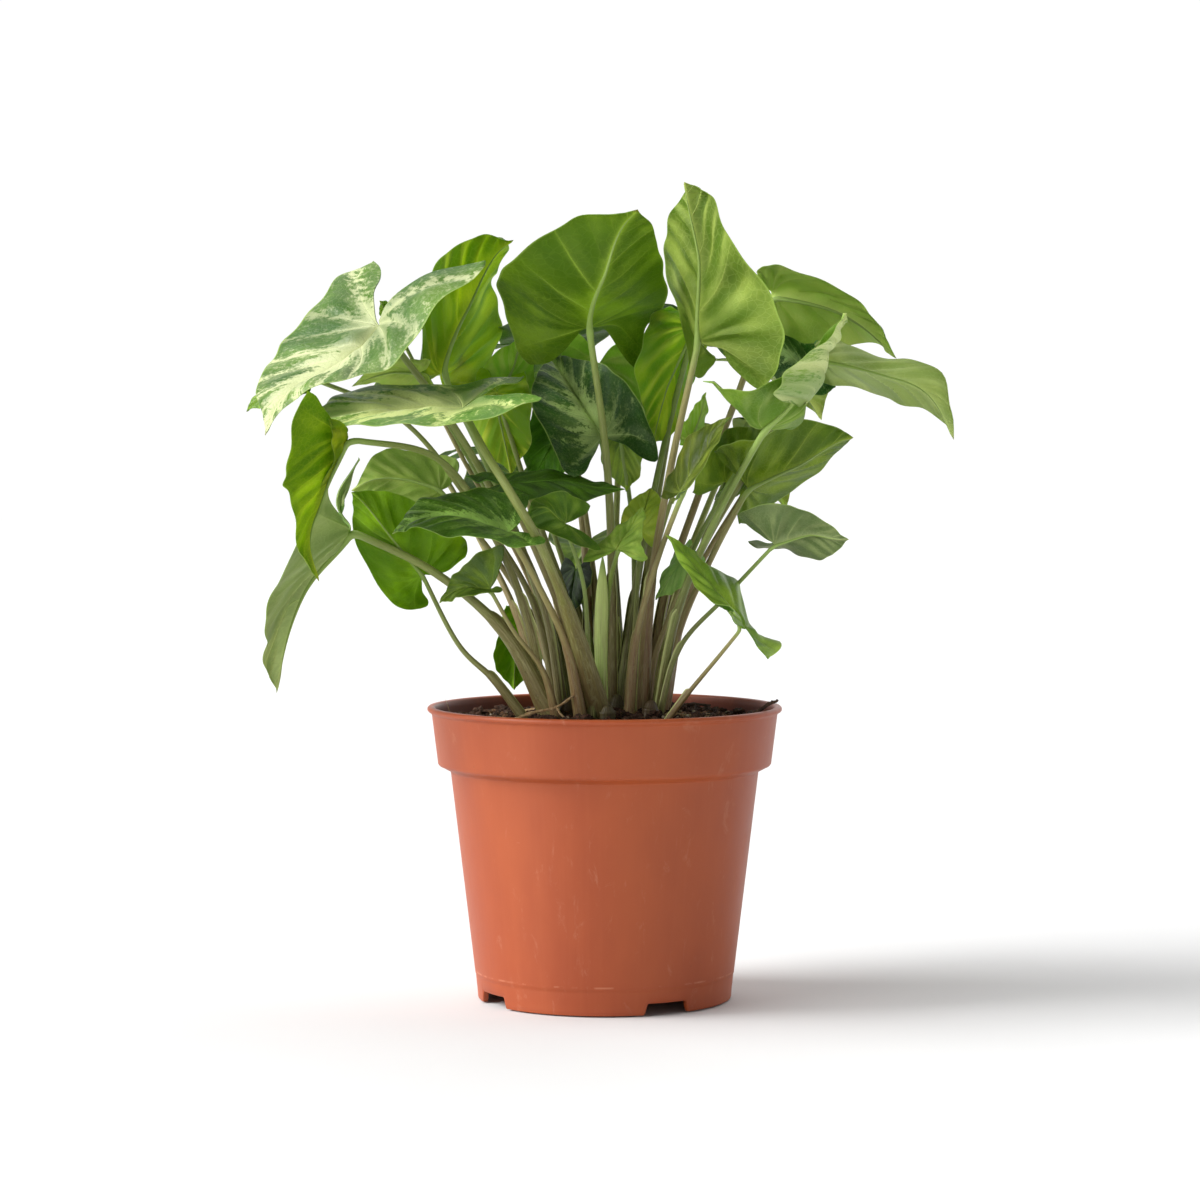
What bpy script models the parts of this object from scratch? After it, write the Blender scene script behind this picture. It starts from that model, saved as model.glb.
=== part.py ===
# Potted syngonium (arrowhead plant) in a 12 cm nursery pot.
#
# Frame: +Z up, origin on the ground under the middle of the pot, front towards -Y.
# Every leaf grows as one piece: a thin arrow-shaped blade with its midrib and its
# petiole (leaf stalk). The other pieces are the rolled new leaf, the short sheathed
# stems planted in the soil, two roots lying on it, the soil and the pot.
# The tables below are in millimetres and degrees; the meshes are in metres.

import math
from collections import namedtuple

import bmesh
import bpy
import numpy as np

MM = 0.001

# ---------------------------------------------------------------- pot (mm)
POT_SEGMENTS = 40
POT_HEIGHT = 99.0
RIM_RADIUS = 60.0           # 12 cm across the rolled lip
LIP_HEIGHT = 1.6            # the lip's outer band
COLLAR_TOP_RADIUS = 58.5    # collar wall just under the lip
COLLAR_BOTTOM_RADIUS = 56.5
COLLAR_BOTTOM_Z = 79.5
BODY_TOP_RADIUS = 52.1      # tapered wall where it meets the collar
BODY_TOP_Z = 77.5
BASE_RADIUS = 43.0
WALL = 1.25
FLOOR_UNDER_Z = 4.8         # the floor is raised, so the pot stands on a ring
FLOOR_TOP_Z = 6.0
FOOT_RING_WIDTH = 1.8
CENTRE_FOOT_RADIUS = 12.0   # the middle of the floor is pressed down to the ground
CENTRE_SLOPE = 3.5          # and rises to the raised floor over this width
NOTCH_ANGLES = (29.0, 119.0, 209.0, 299.0)   # water notches in the foot ring, from the front
NOTCH_WIDTH_BOTTOM = 17.0
NOTCH_WIDTH_TOP = 13.0
NOTCH_HEIGHT = 3.8
DRAIN_RADIUS = 4.0
DRAIN_CIRCLE = 28.0
DRAIN_ANGLES = (45.0, 135.0, 225.0, 315.0)

# ---------------------------------------------------------------- soil (mm)
GAP = 0.35                  # clearance between neighbouring pieces
SOIL_SEGMENTS = 20
SOIL_CENTRE_Z = 96.2
SOIL_FALL = 2.6             # the surface falls this much towards the wall
SOIL_FALL_RADIUS = 54.0

# ---------------------------------------------------------------- stems and roots (mm)
# foot x, y, radius at the soil, height above the soil, lean of the top in x and y
STEM_SIDES = 8
STEM_DEPTH = 25.0
STEMS = [
    ("stem_01", (-12.0, -12.0), 2.6, 17.0, (-0.9, 0.0)),
    ("stem_02", (4.0, -6.0), 2.7, 19.0, (0.3, 0.2)),
    ("stem_03", (-2.0, 8.0), 2.5, 20.0, (0.0, 0.0)),
    ("stem_04", (15.0, -13.0), 2.6, 16.0, (0.8, -0.3)),
    ("stem_05", (1.0, -22.0), 2.5, 14.0, (0.0, -0.6)),
    ("stem_06", (11.0, 11.0), 2.4, 17.0, (0.0, 0.0)),
]
ROOT_RADIUS = 0.9
ROOTS = [
    ("root_01", [(-38, -14), (-31, -9), (-25, -4), (-23, 3), (-27, 9)]),
    ("root_02", [(20, -12), (24, -7), (31, -5), (38, -9), (43, -8)]),
]

# ---------------------------------------------------------------- rolled new leaf (mm)
SPEAR_FOOT = (-1.0, -15.0)
SPEAR_STATIONS = [(96.6, 1.7), (104, 1.75), (112, 1.85), (120, 2.0), (128, 2.12),
                  (134, 2.15), (140, 1.8), (146, 1.05), (149.8, 0.35)]
SPEAR_SIDES = 8

# ---------------------------------------------------------------- leaves (mm, degrees)
BLADE_THICKNESS = 0.6
STALK_SIDES = 5
# A leaf is set out from its own midrib:
#   hub       where the petiole meets the blade
#   tip       the blade's point
#   face      azimuth and elevation of the way the top face looks
#   rib       bow sideways, arch upwards and slip along, of the middle of the midrib
#   left, right   half width, fold up from flat, twist towards the tip,
#                 length of the back lobe, twist of the lobe, sweep towards the tip
#   shoulder  width at the shoulder as a share of the half width (left, right)
#   spread    how far out the lobe's point lies, as the same share
#   notch     depth of the sinus between the lobes, 1 as usual
#   foot      where the petiole leaves the soil (x, y)
#   stalk     points that the petiole passes on its way up
Leaf = namedtuple("Leaf", "name tint hub tip face rib left right shoulder spread notch foot stalk",
                  defaults=[None] * 13)

LEAVES = [
    # outer left, the largest variegated blade
    Leaf("leaf_01", "cream", hub=(-75, -17.5, 226), tip=(-112, -37, 191), face=(-136, 49), rib=(0, 2, -1),
         left=(28, 2, 12, 41, 4, 0.5), right=(33, 5, 1, 31.5, 0, 5),
         shoulder=(0.77, 0.89), spread=(0.53, 1.13), notch=(0.7, 1),
         foot=(-13.5, -3.5), stalk=[(-20, -5, 132), (-35, -1, 166), (-52.5, -12, 196.5)]),
    # upper left, back-lit
    Leaf("leaf_02", "lime", hub=(-56, 19, 212), tip=(-31, 12, 257), face=(157, 29), rib=(-0.5, 3, -1),
         left=(35, 7, 7, 22, -15, 17), right=(35.5, 6, 4, 25.5, -15, 17),
         shoulder=(0.62, 0.65), spread=(0.73, 0.53), notch=(1.4, 0.9),
         foot=(-9.5, 8.5), stalk=[(-22.5, 11, 136), (-37.5, 15, 174.5)]),
    # front left, seen nearly edge on
    Leaf("leaf_03", "cream", hub=(-46, -41.5, 199), tip=(-101.5, -44.5, 190), face=(-123, 75), rib=(2.5, 3, 0),
         left=(28.5, 5, -2, 35, 2, 9.5), right=(26, 6, 6, 29.5, -2, 7.5),
         shoulder=(0.63, 0.77), spread=(0.67, 0.95), notch=(0.7, 0.8),
         foot=(-3, -11), stalk=[(-8, -17, 124.5), (-19.5, -27, 150.5), (-34, -34.5, 173)]),
    # hanging at the far left
    Leaf("leaf_04", "lime", hub=(-83.5, -53, 189), tip=(-92.5, -65, 144.5), face=(191, 14), rib=(4, 6, -3.5),
         left=(26, 43, -15, 20.5, -6, 14.5), right=(2.5, 165, -31, 9.5, -23, 7),
         shoulder=(0.99, 0.63), spread=(1.15, 5.07), notch=(1.1, 1.8),
         foot=(-19.5, -9.5), stalk=[(-25.5, -17, 128), (-37, -26, 158), (-55, -38, 183)]),
    # lowest left, hanging, long lobe
    Leaf("leaf_05", "grey_green", hub=(-86, -18, 159), tip=(-110, -19, 105), face=(170, 23), rib=(-3.5, 4.5, -5.5),
         left=(28.5, 15, -11, 36.5, -5, 24), right=(6.5, 28, -11, 28.5, 107, 5),
         shoulder=(0.64, 1.41), spread=(1.16, 0.74), notch=(1.1, 0.7),
         foot=(-16.5, -15.5), stalk=[(-33, -16.5, 124), (-57, -18, 145)]),
    Leaf("leaf_06", "pale", hub=(-56, -1, 171), tip=(-85.5, 0, 172), face=(89, -47), rib=(-2, -3, 0),
         left=(15, -10, -20, 8.5, -16, 2), right=(14, -10, 12, 6.5, 29, 2),
         foot=(-14, 3), stalk=[(-22.5, 3.5, 124), (-37, 1, 149)]),
    Leaf("leaf_07", "mid", hub=(-62, -11, 144), tip=(-83.5, -29.5, 172), face=(111, 19), rib=(-1, 1, 0.5),
         left=(17.5, -4, 35, 11, 13, 3), right=(13, -3, 39, 7.5, -66, 1),
         shoulder=(0.72, 0.97), spread=(0.87, 0.82), notch=(1.2, 1.2),
         foot=(-29, -14), stalk=[(-39, -13, 112.5), (-53, -12, 127)]),
    Leaf("leaf_08", "dark", hub=(-31, -49.5, 159.5), tip=(-69.5, -48, 159.5), face=(-91, 64), rib=(1, 4, 0),
         left=(18, 16, -9, 17.5, -5, 5), right=(19, 16, -13, 14, 2, 8),
         foot=(-7.5, -20), stalk=[(-12.5, -27, 120), (-21.5, -37.5, 141)]),
    Leaf("leaf_09", "dark", hub=(-33, -16, 174), tip=(7, -15.5, 173), face=(-87, 70), rib=(-1, 2, 1),
         left=(16, -4, -6, 15, 3, 1.5), right=(16, -4, -11, 10, 1, 2.5),
         shoulder=(0.81, 0.85), spread=(0.32, 0.82), notch=(1, 1.3),
         foot=(-7, -2), stalk=[(-12.5, -4.5, 124), (-22, -9.5, 149)]),
    Leaf("leaf_10", "mid", hub=(-13, -31, 162), tip=(-26, -41, 165), face=(-49, 20), rib=(3.5, 0.5, 0),
         left=(6.5, 7, -46, 13, 17, 3.5), right=(8.5, 7, -32, 9, 15, 0),
         shoulder=(1.11, 0.62), spread=(1.51, 0.8), notch=(1, 1),
         foot=(-4, -19), stalk=[(-5.5, -21, 118.5), (-7, -25, 141)]),
    Leaf("leaf_11", "lime", hub=(4, -30, 153), tip=(13, -18, 167), face=(-132, 47), rib=(0, -0.5, 0.5),
         left=(8, 8, -5, 10.5, 10, 2), right=(9.5, 7, 4, 3.5, -24, 0.5),
         shoulder=(0.67, 0.64), spread=(1.03, 1.21), notch=(0.8, 1.1),
         foot=(-2, -8), stalk=[(0, -6, 118.5), (1.5, -12.5, 139)]),
    Leaf("leaf_12", "mid", hub=(-38, -30.5, 140), tip=(-55, -23.5, 135), face=(-130, 48), rib=(1, 2.5, 0),
         left=(9, 32, -24, 7.5, -20, 0.5), right=(10.5, 30, -15, 12.5, 2, 6),
         shoulder=(0.81, 0.52), spread=(0.67, 1.3), notch=(1, 0.9),
         foot=(-15.5, -18.5), stalk=[(-20.5, -21.5, 112), (-30, -25.5, 125.5)]),
    Leaf("leaf_13", "mid", hub=(-28, 25, 127), tip=(-31, 31, 102), face=(130, 15), rib=(-1, 1, 0),
         left=(11.5, -9, 11, 9.5, 7, 4.5), right=(12.5, -10, -27, 8.5, 27, 6),
         foot=(-16.5, 16), stalk=[(-18, 18, 107.5), (-22.5, 21.5, 117.5)]),
    # tall blade at the top, underside out
    Leaf("leaf_14", "mid", hub=(-6, -6, 227), tip=(10, -47, 264), face=(104, 50), rib=(2.5, -2, 1),
         left=(28.5, 22, 0, 18, -22, 0), right=(32, 17, 4, 21.5, 0, -3),
         shoulder=(0.81, 0.89), spread=(0.87, 0.38), notch=(0.9, 0.8),
         foot=(2.5, 3.5), stalk=[(2.5, 1, 140), (0.5, -5, 183.5)]),
    # tallest blade
    Leaf("leaf_15", "lime", hub=(32, -17.5, 223), tip=(27, -31.5, 273.5), face=(37, 14), rib=(-3.5, 0.5, 3),
         left=(38, 3, -5, 22, -3, 7), right=(30, 21, -16, 10.5, 7, 1),
         shoulder=(0.49, 0.79), spread=(0.76, 0.7), notch=(0.7, 0.7),
         foot=(12.5, -6), stalk=[(15.5, -8.5, 139), (22.5, -10.5, 181.5)]),
    Leaf("leaf_16", "lime", hub=(29, 22, 226), tip=(15, 11.5, 187), face=(154, 12), rib=(0.5, 2, 0.5),
         left=(23, 6, -2, 14, 6, 12), right=(23, 7, -14, 13, -9, 8),
         shoulder=(0.57, 0.64), spread=(0.72, 0.74), notch=(1.2, 1.2),
         foot=(4.5, 11.5), stalk=[(11, 14.5, 140), (19.5, 18.5, 183)]),
    # centre, dark with a pale heart
    Leaf("leaf_17", "dark", hub=(-1, 0, 190), tip=(-19, 21.5, 217), face=(-96, 37), rib=(0, 0.5, 0),
         left=(18, 23, 8, 16.5, -10, 3.5), right=(16.5, 24, 9, 20, -47, 4),
         shoulder=(1, 0.79), spread=(0.95, 0.8), notch=(1.6, 1.1),
         foot=(4, 16), stalk=[(4.5, 14, 120), (3, 8, 143), (2, 5.5, 166.5)]),
    Leaf("leaf_18", "dark", hub=(-13, 23.5, 196), tip=(-25, 13.5, 174), face=(-111, 32), rib=(1.5, -2, 0),
         left=(11.5, 3, -32, 8.5, 21, 4.5), right=(13.5, 2, -8, 8.5, 5, 2.5),
         foot=(-0.5, 21.5), stalk=[(-2.5, 22, 129.5), (-6.5, 23, 163)]),
    Leaf("leaf_19", "lime", hub=(-37, 20, 205), tip=(-32, 22, 177), face=(49, 10), rib=(-0.5, -0.5, 0),
         left=(13.5, -1, -18, 14, 23, 4.5), right=(16.5, -1, 6, 9.5, 5, 3.5),
         foot=(-5.5, 16), stalk=[(-13, 17, 133.5), (-25.5, 18.5, 169)]),
    Leaf("leaf_20", "mid", hub=(-35, 34, 205), tip=(-28, 20, 224), face=(66, 28), rib=(-0.5, -0.5, 0.5),
         left=(10, 7, 42, 7.5, 16, 3.5), right=(10.5, 7, 14, 9.5, 33, 0.5),
         shoulder=(0.71, 0.83), spread=(1.37, 0.57), notch=(1.2, 1),
         foot=(-2, 25), stalk=[(-10.5, 30.5, 133), (-22, 31, 169.5)]),
    # arching over the right
    Leaf("leaf_21", "pale", hub=(58, 30, 238), tip=(100, 16, 217), face=(40, 47), rib=(6, 2.5, 0),
         left=(23.5, -2, 3, 3, -29, 5.5), right=(25.5, -5, 24, 9, -6, 3.5),
         shoulder=(0.97, 0.29), spread=(0.84, 0.64), notch=(1.1, 0.9),
         foot=(15, 20.5), stalk=[(20.5, 23, 133), (32, 25.5, 168.5), (45.5, 27.5, 203)]),
    # drooping at the far right
    Leaf("leaf_22", "grey_green", hub=(73.5, 3, 217), tip=(118.5, -2, 189), face=(18, 56), rib=(3, 6, -4),
         left=(24.5, -3, 4, 4.5, -9, 4.5), right=(27, -3, 27, 6.5, -5, 3),
         shoulder=(0.91, 0.68), spread=(0.71, 0.72), notch=(1.4, 1),
         foot=(16, 9.5), stalk=[(27.5, 8, 139.5), (49, 5.5, 179.5)]),
    # young folded blade, right
    Leaf("leaf_23", "cream", hub=(53, -30, 194), tip=(77, -55, 230), face=(140, 44), rib=(0, 1, -1.5),
         left=(18.5, -1, 14, 14, -5, 7.5), right=(19, 3, -21, 8.5, 39, 11.5),
         shoulder=(1.1, 1.01), spread=(1.01, 1.25), notch=(0.6, 1.1),
         foot=(16.5, -5), stalk=[(24, -12, 130.5), (37, -20.5, 163)]),
    Leaf("leaf_24", "dark", hub=(71, 29.5, 212), tip=(54, 20.5, 221), face=(-54, 16), rib=(1, -0.5, 0),
         left=(10, -6, -16, 7.5, 60, -0.5), right=(13.5, -5, -6, 8.5, 21, 0),
         foot=(20.5, 15), stalk=[(29.5, 20, 137.5), (50.5, 26, 174.5)]),
    Leaf("leaf_25", "mid", hub=(49, 4, 173), tip=(84, 3, 190), face=(122, 49), rib=(-0.5, -0.5, 2),
         left=(22, 6, 10, 10.5, -12, 2.5), right=(22.5, 6, 15, 9, 12, 3.5),
         shoulder=(0.72, 0.81), spread=(0.68, 0.84), notch=(0.9, 1.1),
         foot=(19, 4), stalk=[(25, 4, 123), (36, 4, 148.5)]),
    Leaf("leaf_26", "dark", hub=(42, 13, 174), tip=(57, 18, 192), face=(131, 18), rib=(2, 0, 0),
         left=(12, 12, -9, 5.5, 30, 0), right=(13.5, 11, -3, 17.5, -3, 5.5),
         foot=(17, 12.5), stalk=[(21.5, 13, 123.5), (29.5, 12.5, 149.5)]),
    # young blade still half rolled
    Leaf("leaf_27", "mid", hub=(25, -26.5, 172), tip=(42, -26.5, 197), face=(-164, 33), rib=(-0.5, 0, 0),
         left=(15.5, 10, 11, 11, -7, 5), right=(15, 10, -3, 8, 4, 3),
         foot=(8, -12), stalk=[(10.5, -15, 122.5), (17, -21, 147.5)]),
    Leaf("leaf_28", "lime", hub=(29, -2, 189), tip=(34, -1, 205), face=(148, 13), rib=(0.5, -0.5, 0),
         left=(7.5, -1, 3, 6, -6, 3), right=(7, -1, 3, 5.5, -5, 2.5),
         foot=(9.5, 2), stalk=[(12, 1, 128), (19.5, -0.5, 159)]),
    Leaf("leaf_29", "mid", hub=(57, -18, 155), tip=(80, -30, 156), face=(66, 57), rib=(-2, 1.5, 0),
         left=(11.5, 17, -28, 12, 12, -2), right=(18.5, 15, 0, 11.5, -9, 3),
         foot=(17.5, -9), stalk=[(25, -11, 119), (41, -13, 137)]),
    # low right, twisted
    Leaf("leaf_30", "mid", hub=(45, -35, 127), tip=(20, -26, 158), face=(-12, 40), rib=(-2, 1, -2),
         left=(13, 14, -30, 1.5, -3, 3.5), right=(19, 12, -4, 19, -2, 5),
         shoulder=(0.42, 0.91), spread=(1.85, 0.5), notch=(0.3, 0.7),
         foot=(19, -18), stalk=[(25.5, -22.5, 108.5), (35.5, -28.5, 118)]),
    Leaf("leaf_31", "mid", hub=(12, 6, 158), tip=(16, 14, 172), face=(-105, 32), rib=(-0.5, 0.5, 0),
         left=(7, 29, -10, 8.5, -24, 1.5), right=(8.5, 27, -8, 9, -29, 3),
         foot=(6, 9), stalk=[(9.5, 4.5, 116.5), (11, 6, 137)]),
    Leaf("leaf_32", "pale", hub=(-62, -6.5, 212), tip=(-85, -4.5, 207), face=(98, 43), rib=(-2.5, 0.5, 0),
         left=(9, -15, 2, 6.5, -7, 1.5), right=(8.5, -16, 7, 6, -20, 2),
         foot=(-11.5, 5.5), stalk=[(-22, 4, 138), (-42, 1.5, 175.5)]),
    Leaf("leaf_33", "lime", hub=(-71, 18, 226), tip=(-77, 21, 237), face=(50, 8), rib=(-0.5, -0.5, 0),
         left=(6, -1, 1, 6, 10, 2.5), right=(6, -1, 0, 5.5, 19, 2),
         foot=(-10, 12), stalk=[(-26, 14, 141.5), (-49, 15.5, 183.5)]),
    Leaf("leaf_34", "mid", hub=(-102, -8, 212), tip=(-120, -5, 199), face=(-136, 40), rib=(1, 0.5, 0),
         left=(11.5, -3, 0, 6.5, -11, 6), right=(9.5, -3, 1, 6.5, -20, 4),
         foot=(-15.5, -0.5), stalk=[(-24, -1.5, 133.5), (-44, -4, 166), (-68, -6.5, 195.5)]),
    Leaf("leaf_35", "dark", hub=(-10, 24, 144), tip=(-13, 21.5, 127), face=(-134, 13), rib=(-1, 0.5, 0),
         left=(8, -1, -3, 5, 14, 2.5), right=(6.5, -2, -2, 6.5, 7, 2.5),
         foot=(-4.5, 19), stalk=[(-4, 19.5, 112.5), (-6.5, 22, 128.5)]),
    Leaf("leaf_36", "mid", hub=(29, -4, 151), tip=(17, -4, 135), face=(-145, 32), rib=(0, 0, 0),
         left=(9.5, -8, 3, 6.5, -4, 5.5), right=(8.5, -9, 3, 7, 1, 4),
         foot=(14, -2), stalk=[(17, -2.5, 115), (23, -3, 133)]),
    Leaf("leaf_37", "lime", hub=(-2, 26.5, 215), tip=(-2, 48.5, 189), face=(92, 40), rib=(0, -1.5, 0),
         left=(15.5, -21, -7, 16.5, 16, 2.5), right=(17.5, -21, -4, 16, -3, 3),
         foot=(6.5, 24), stalk=[(4, 24.5, 135.5), (1.5, 27.5, 175.5)]),
    Leaf("leaf_38", "mid", hub=(6, 18, 191), tip=(7, 16.5, 171), face=(38, 0), rib=(-0.5, 0, 0),
         left=(10, 0, 7, 12, 14, 5), right=(11.5, 0, 10, 11, -5, 6.5),
         foot=(11.5, 16), stalk=[(10.5, 17.5, 128), (9.5, 17, 159.5)]),
    Leaf("leaf_39", "mid", hub=(-14, 50.5, 226), tip=(-25, 93.5, 203), face=(105, 63), rib=(-0.5, 4, 0),
         left=(23, 9, -2, 20.5, -31, -2), right=(23.5, 9, -1, 21, -30, -1),
         foot=(-6, 22), stalk=[(-6, 28.5, 139.5), (-10, 39, 183)]),
    Leaf("leaf_40", "dark", hub=(30, 44, 232), tip=(48, 82, 214), face=(43, 65), rib=(-0.5, 3, 0),
         left=(21, 10, 2, 19.5, -28, -1.5), right=(22, 10, 0, 19.5, -30, -1),
         foot=(10, 20), stalk=[(14.5, 25.5, 142), (21.5, 34, 187.5)]),
    Leaf("leaf_41", "mid", hub=(-56.5, 53, 214), tip=(-84.5, 78, 194), face=(159, 61), rib=(-1, 3.5, 0),
         left=(20.5, 12, -6, 17, -29, -1.5), right=(22.5, 12, -3, 18, -24, -1),
         foot=(-14, 20.5), stalk=[(-24, 28, 137.5), (-39, 38, 177)]),
    Leaf("leaf_42", "dark", hub=(-30, 62, 176), tip=(-45, 90, 151), face=(118, 52), rib=(0.5, 4, 0),
         left=(19, 12, -1, 16, -34, -2), right=(18.5, 13, -2, 15.5, -34, -2),
         foot=(-10, 26), stalk=[(-15, 34.5, 124.5), (-22, 47.5, 151)]),
    Leaf("leaf_43", "mid", hub=(46, 59, 188), tip=(66, 86, 164), face=(54, 55), rib=(0, 3.5, 0),
         left=(19.5, 12, -3, 17.5, -31, -1), right=(19, 13, -3, 16, -28, -1.5),
         foot=(13, 23.5), stalk=[(21.5, 31.5, 128.5), (33.5, 45, 159)]),
    Leaf("leaf_44", "mid", hub=(58, 47.5, 213), tip=(78, 75, 196), face=(55, 64), rib=(0, 2.5, 0),
         left=(18, 12, -1, 16, -30, -1.5), right=(18, 12, -2, 15.5, -30, -1.5),
         foot=(18.5, 18.5), stalk=[(29, 25, 136.5), (42.5, 30.5, 176.5)]),
    Leaf("leaf_45", "dark", hub=(-58, 41.5, 180), tip=(-85, 56, 162), face=(151, 60), rib=(-0.5, 3, 0),
         left=(17, 12, 0, 14.5, -29, -2), right=(17.5, 12, 0, 15, -28, -1),
         foot=(-20.5, 11), stalk=[(-29.5, 16, 127), (-43, 29, 154)]),
    Leaf("leaf_46", "mid", hub=(6, 64, 206), tip=(7, 99, 179), face=(89, 52), rib=(0.5, 3, 0),
         left=(21, 10, 0, 19, -26, -1), right=(20, 11, -1, 19, -28, -1),
         foot=(1, 27), stalk=[(3, 36, 134), (4.5, 47, 170.5)]),
    Leaf("leaf_47", "mid", hub=(-6, 53, 152), tip=(-11, 79, 140), face=(99, 66), rib=(0, 2, 0),
         left=(14, 15, 0, 13.5, -20, -1), right=(14, 15, 2, 11.5, -15, -1),
         foot=(-1.5, 29), stalk=[(-3, 34.5, 115), (-5, 42, 134.5)]),
]

TINTS = {
    "cream": (0.52, 0.62, 0.36),
    "lime": (0.30, 0.46, 0.06),
    "pale": (0.27, 0.40, 0.15),
    "grey_green": (0.22, 0.34, 0.14),
    "mid": (0.12, 0.26, 0.05),
    "dark": (0.04, 0.12, 0.025),
}

# Outline of a flat syngonium blade, hub at (0, 0) and tip at (0, 1): right-hand outer
# edge from the tip to the lobe's point, then the sinus edge from the hub to it.
OUTER_EDGE = [(0.0, 1.0), (0.035, 0.945), (0.095, 0.865), (0.20, 0.73), (0.32, 0.555), (0.425, 0.36),
              (0.49, 0.16), (0.505, -0.04), (0.475, -0.23), (0.415, -0.38), (0.345, -0.465)]
SINUS_EDGE = [(0.0, 0.0), (0.035, -0.07), (0.085, -0.19), (0.16, -0.32), (0.25, -0.42), (0.345, -0.465)]
OUTER_SHARE = 0.70          # share of the outer edge that lies ahead of the hub

# Where the setting-out marks lie on the flat blade (right-hand side).
MARK = {"hub": (0, 0), "tip": (0, 1), "mid": (0, 0.5), "w": (0.50, 0.08), "s": (0.36, 0.48),
        "l": (0.345, -0.465), "i": (0.10, -0.22), "q": (0.20, 0.73), "b": (0.475, -0.23)}


# ================================================================ geometry helpers
def chain(points, where):
    """Points along a smooth curve through the given ones; where = a count or shares of its length."""
    p = np.array(points, float)
    q = np.vstack([2 * p[0] - p[1], p, 2 * p[-1] - p[-2]])
    out = []
    for i in range(len(p) - 1):
        a, b, c, d = q[i], q[i + 1], q[i + 2], q[i + 3]
        for t in np.linspace(0, 1, 25, endpoint=False):
            out.append(0.5 * ((2 * b) + (c - a) * t + (2 * a - 5 * b + 4 * c - d) * t * t
                              + (-a + 3 * b - 3 * c + d) * t ** 3))
    out.append(p[-1])
    out = np.array(out)
    s = np.r_[0, np.cumsum(np.linalg.norm(np.diff(out, axis=0), axis=1))]
    u = (np.linspace(0, 1, where) if np.ndim(where) == 0 else np.asarray(where, float)) * s[-1]
    return np.stack([np.interp(u, s, out[:, c]) for c in range(out.shape[1])], -1)


def plate_spline(flat, space):
    """The smoothest bending of the flat blade that carries the flat marks to the marks in space."""
    flat = np.asarray(flat, float)
    space = np.asarray(space, float)
    n = len(flat)

    def kernel(r):
        return np.where(r > 0, r * r * np.log(np.maximum(r, 1e-12)), 0)

    k = kernel(np.linalg.norm(flat[:, None] - flat[None], axis=-1))
    p = np.c_[np.ones(n), flat]
    a = np.block([[k, p], [p.T, np.zeros((3, 3))]])
    w = np.linalg.solve(a, np.vstack([space, np.zeros((3, 3))]))

    def bend(q):
        q = np.atleast_2d(np.asarray(q, float))
        r = np.linalg.norm(q[:, None] - flat[None], axis=-1)
        return kernel(r) @ w[:n] + np.c_[np.ones(len(q)), q] @ w[n:]

    return bend


def leaf_marks(leaf):
    """The setting-out marks of one leaf in space, from its own dimensions."""
    hub = np.array(leaf.hub, float)
    tip = np.array(leaf.tip, float)
    length = np.linalg.norm(tip - hub)
    along = (tip - hub) / length
    az, el = math.radians(leaf.face[0]), math.radians(leaf.face[1])
    look = np.array([math.cos(el) * math.cos(az), math.cos(el) * math.sin(az), math.sin(el)])
    up = look - (look @ along) * along
    up /= np.linalg.norm(up)
    across = np.cross(along, up)
    bow, arch, slip = leaf.rib
    shoulder = leaf.shoulder or (0.72, 0.72)
    spread = leaf.spread or (0.69, 0.69)
    notch = leaf.notch or (1.0, 1.0)
    flat = [MARK["hub"], MARK["tip"], MARK["mid"]]
    local = [(0, 0, 0), (0, length, 0), (bow, 0.5 * length + slip, arch)]
    for n, (sign, side) in enumerate(((-1, leaf.left), (1, leaf.right))):
        width, fold, twist, lobe, lobe_twist, sweep = side

        def at(radius, angle, y, share):
            a = math.radians(angle)
            return (sign * radius * math.cos(a) + bow * share, y + slip * share,
                    radius * math.sin(a) + arch * share)

        local += [
            at(width, fold, 0.08 * length + sweep, 0.25),
            at(shoulder[n] * width, fold + twist, 0.48 * length + 0.7 * sweep, 1.0),
            at(0.56 * shoulder[n] * width, fold + 1.5 * twist, 0.73 * length + 0.4 * sweep, 0.8),
            at((0.5 + 0.65 * spread[n]) * width, fold + 0.5 * lobe_twist, -0.5 * lobe + sweep, 0.0),
            at(spread[n] * width, fold + lobe_twist, -lobe + sweep, 0.0),
            at(0.29 * spread[n] * width * notch[n], fold + 0.7 * lobe_twist,
               (-0.47 * lobe + 0.4 * sweep) * notch[n], 0.0),
        ]
        flat += [(sign * MARK[m][0], MARK[m][1]) for m in "wsqbli"]
    space = [hub + x * across + y * along + z * up for x, y, z in local]
    return flat, space, length, up


def soil_z(x, y):
    r = min(math.hypot(x, y) / SOIL_FALL_RADIUS, 1.0)
    return SOIL_CENTRE_Z - SOIL_FALL * r * r


# ================================================================ Blender helpers
def make_material(name, colour, roughness, metallic=0.0):
    mat = bpy.data.materials.new(name)
    mat.use_nodes = True
    bsdf = mat.node_tree.nodes["Principled BSDF"]
    bsdf.inputs["Base Color"].default_value = (*colour, 1.0)
    bsdf.inputs["Roughness"].default_value = roughness
    bsdf.inputs["Metallic"].default_value = metallic
    return mat


def make_object(name, bm, material, parent, sharp=40.0):
    mesh = bpy.data.meshes.new(name)
    bmesh.ops.recalc_face_normals(bm, faces=bm.faces)
    bm.to_mesh(mesh)
    bm.free()
    mesh.shade_smooth()
    mesh.set_sharp_from_angle(angle=math.radians(sharp))
    obj = bpy.data.objects.new(name, mesh)
    bpy.context.scene.collection.objects.link(obj)
    if material is not None:
        mesh.materials.append(material)
    obj.parent = parent
    return obj


def make_guide(name, bm, parent):
    """A helper solid that another object is joined with or cut by."""
    obj = make_object(name, bm, None, parent)
    obj.hide_render = True
    obj.display_type = "WIRE"
    return obj


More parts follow.
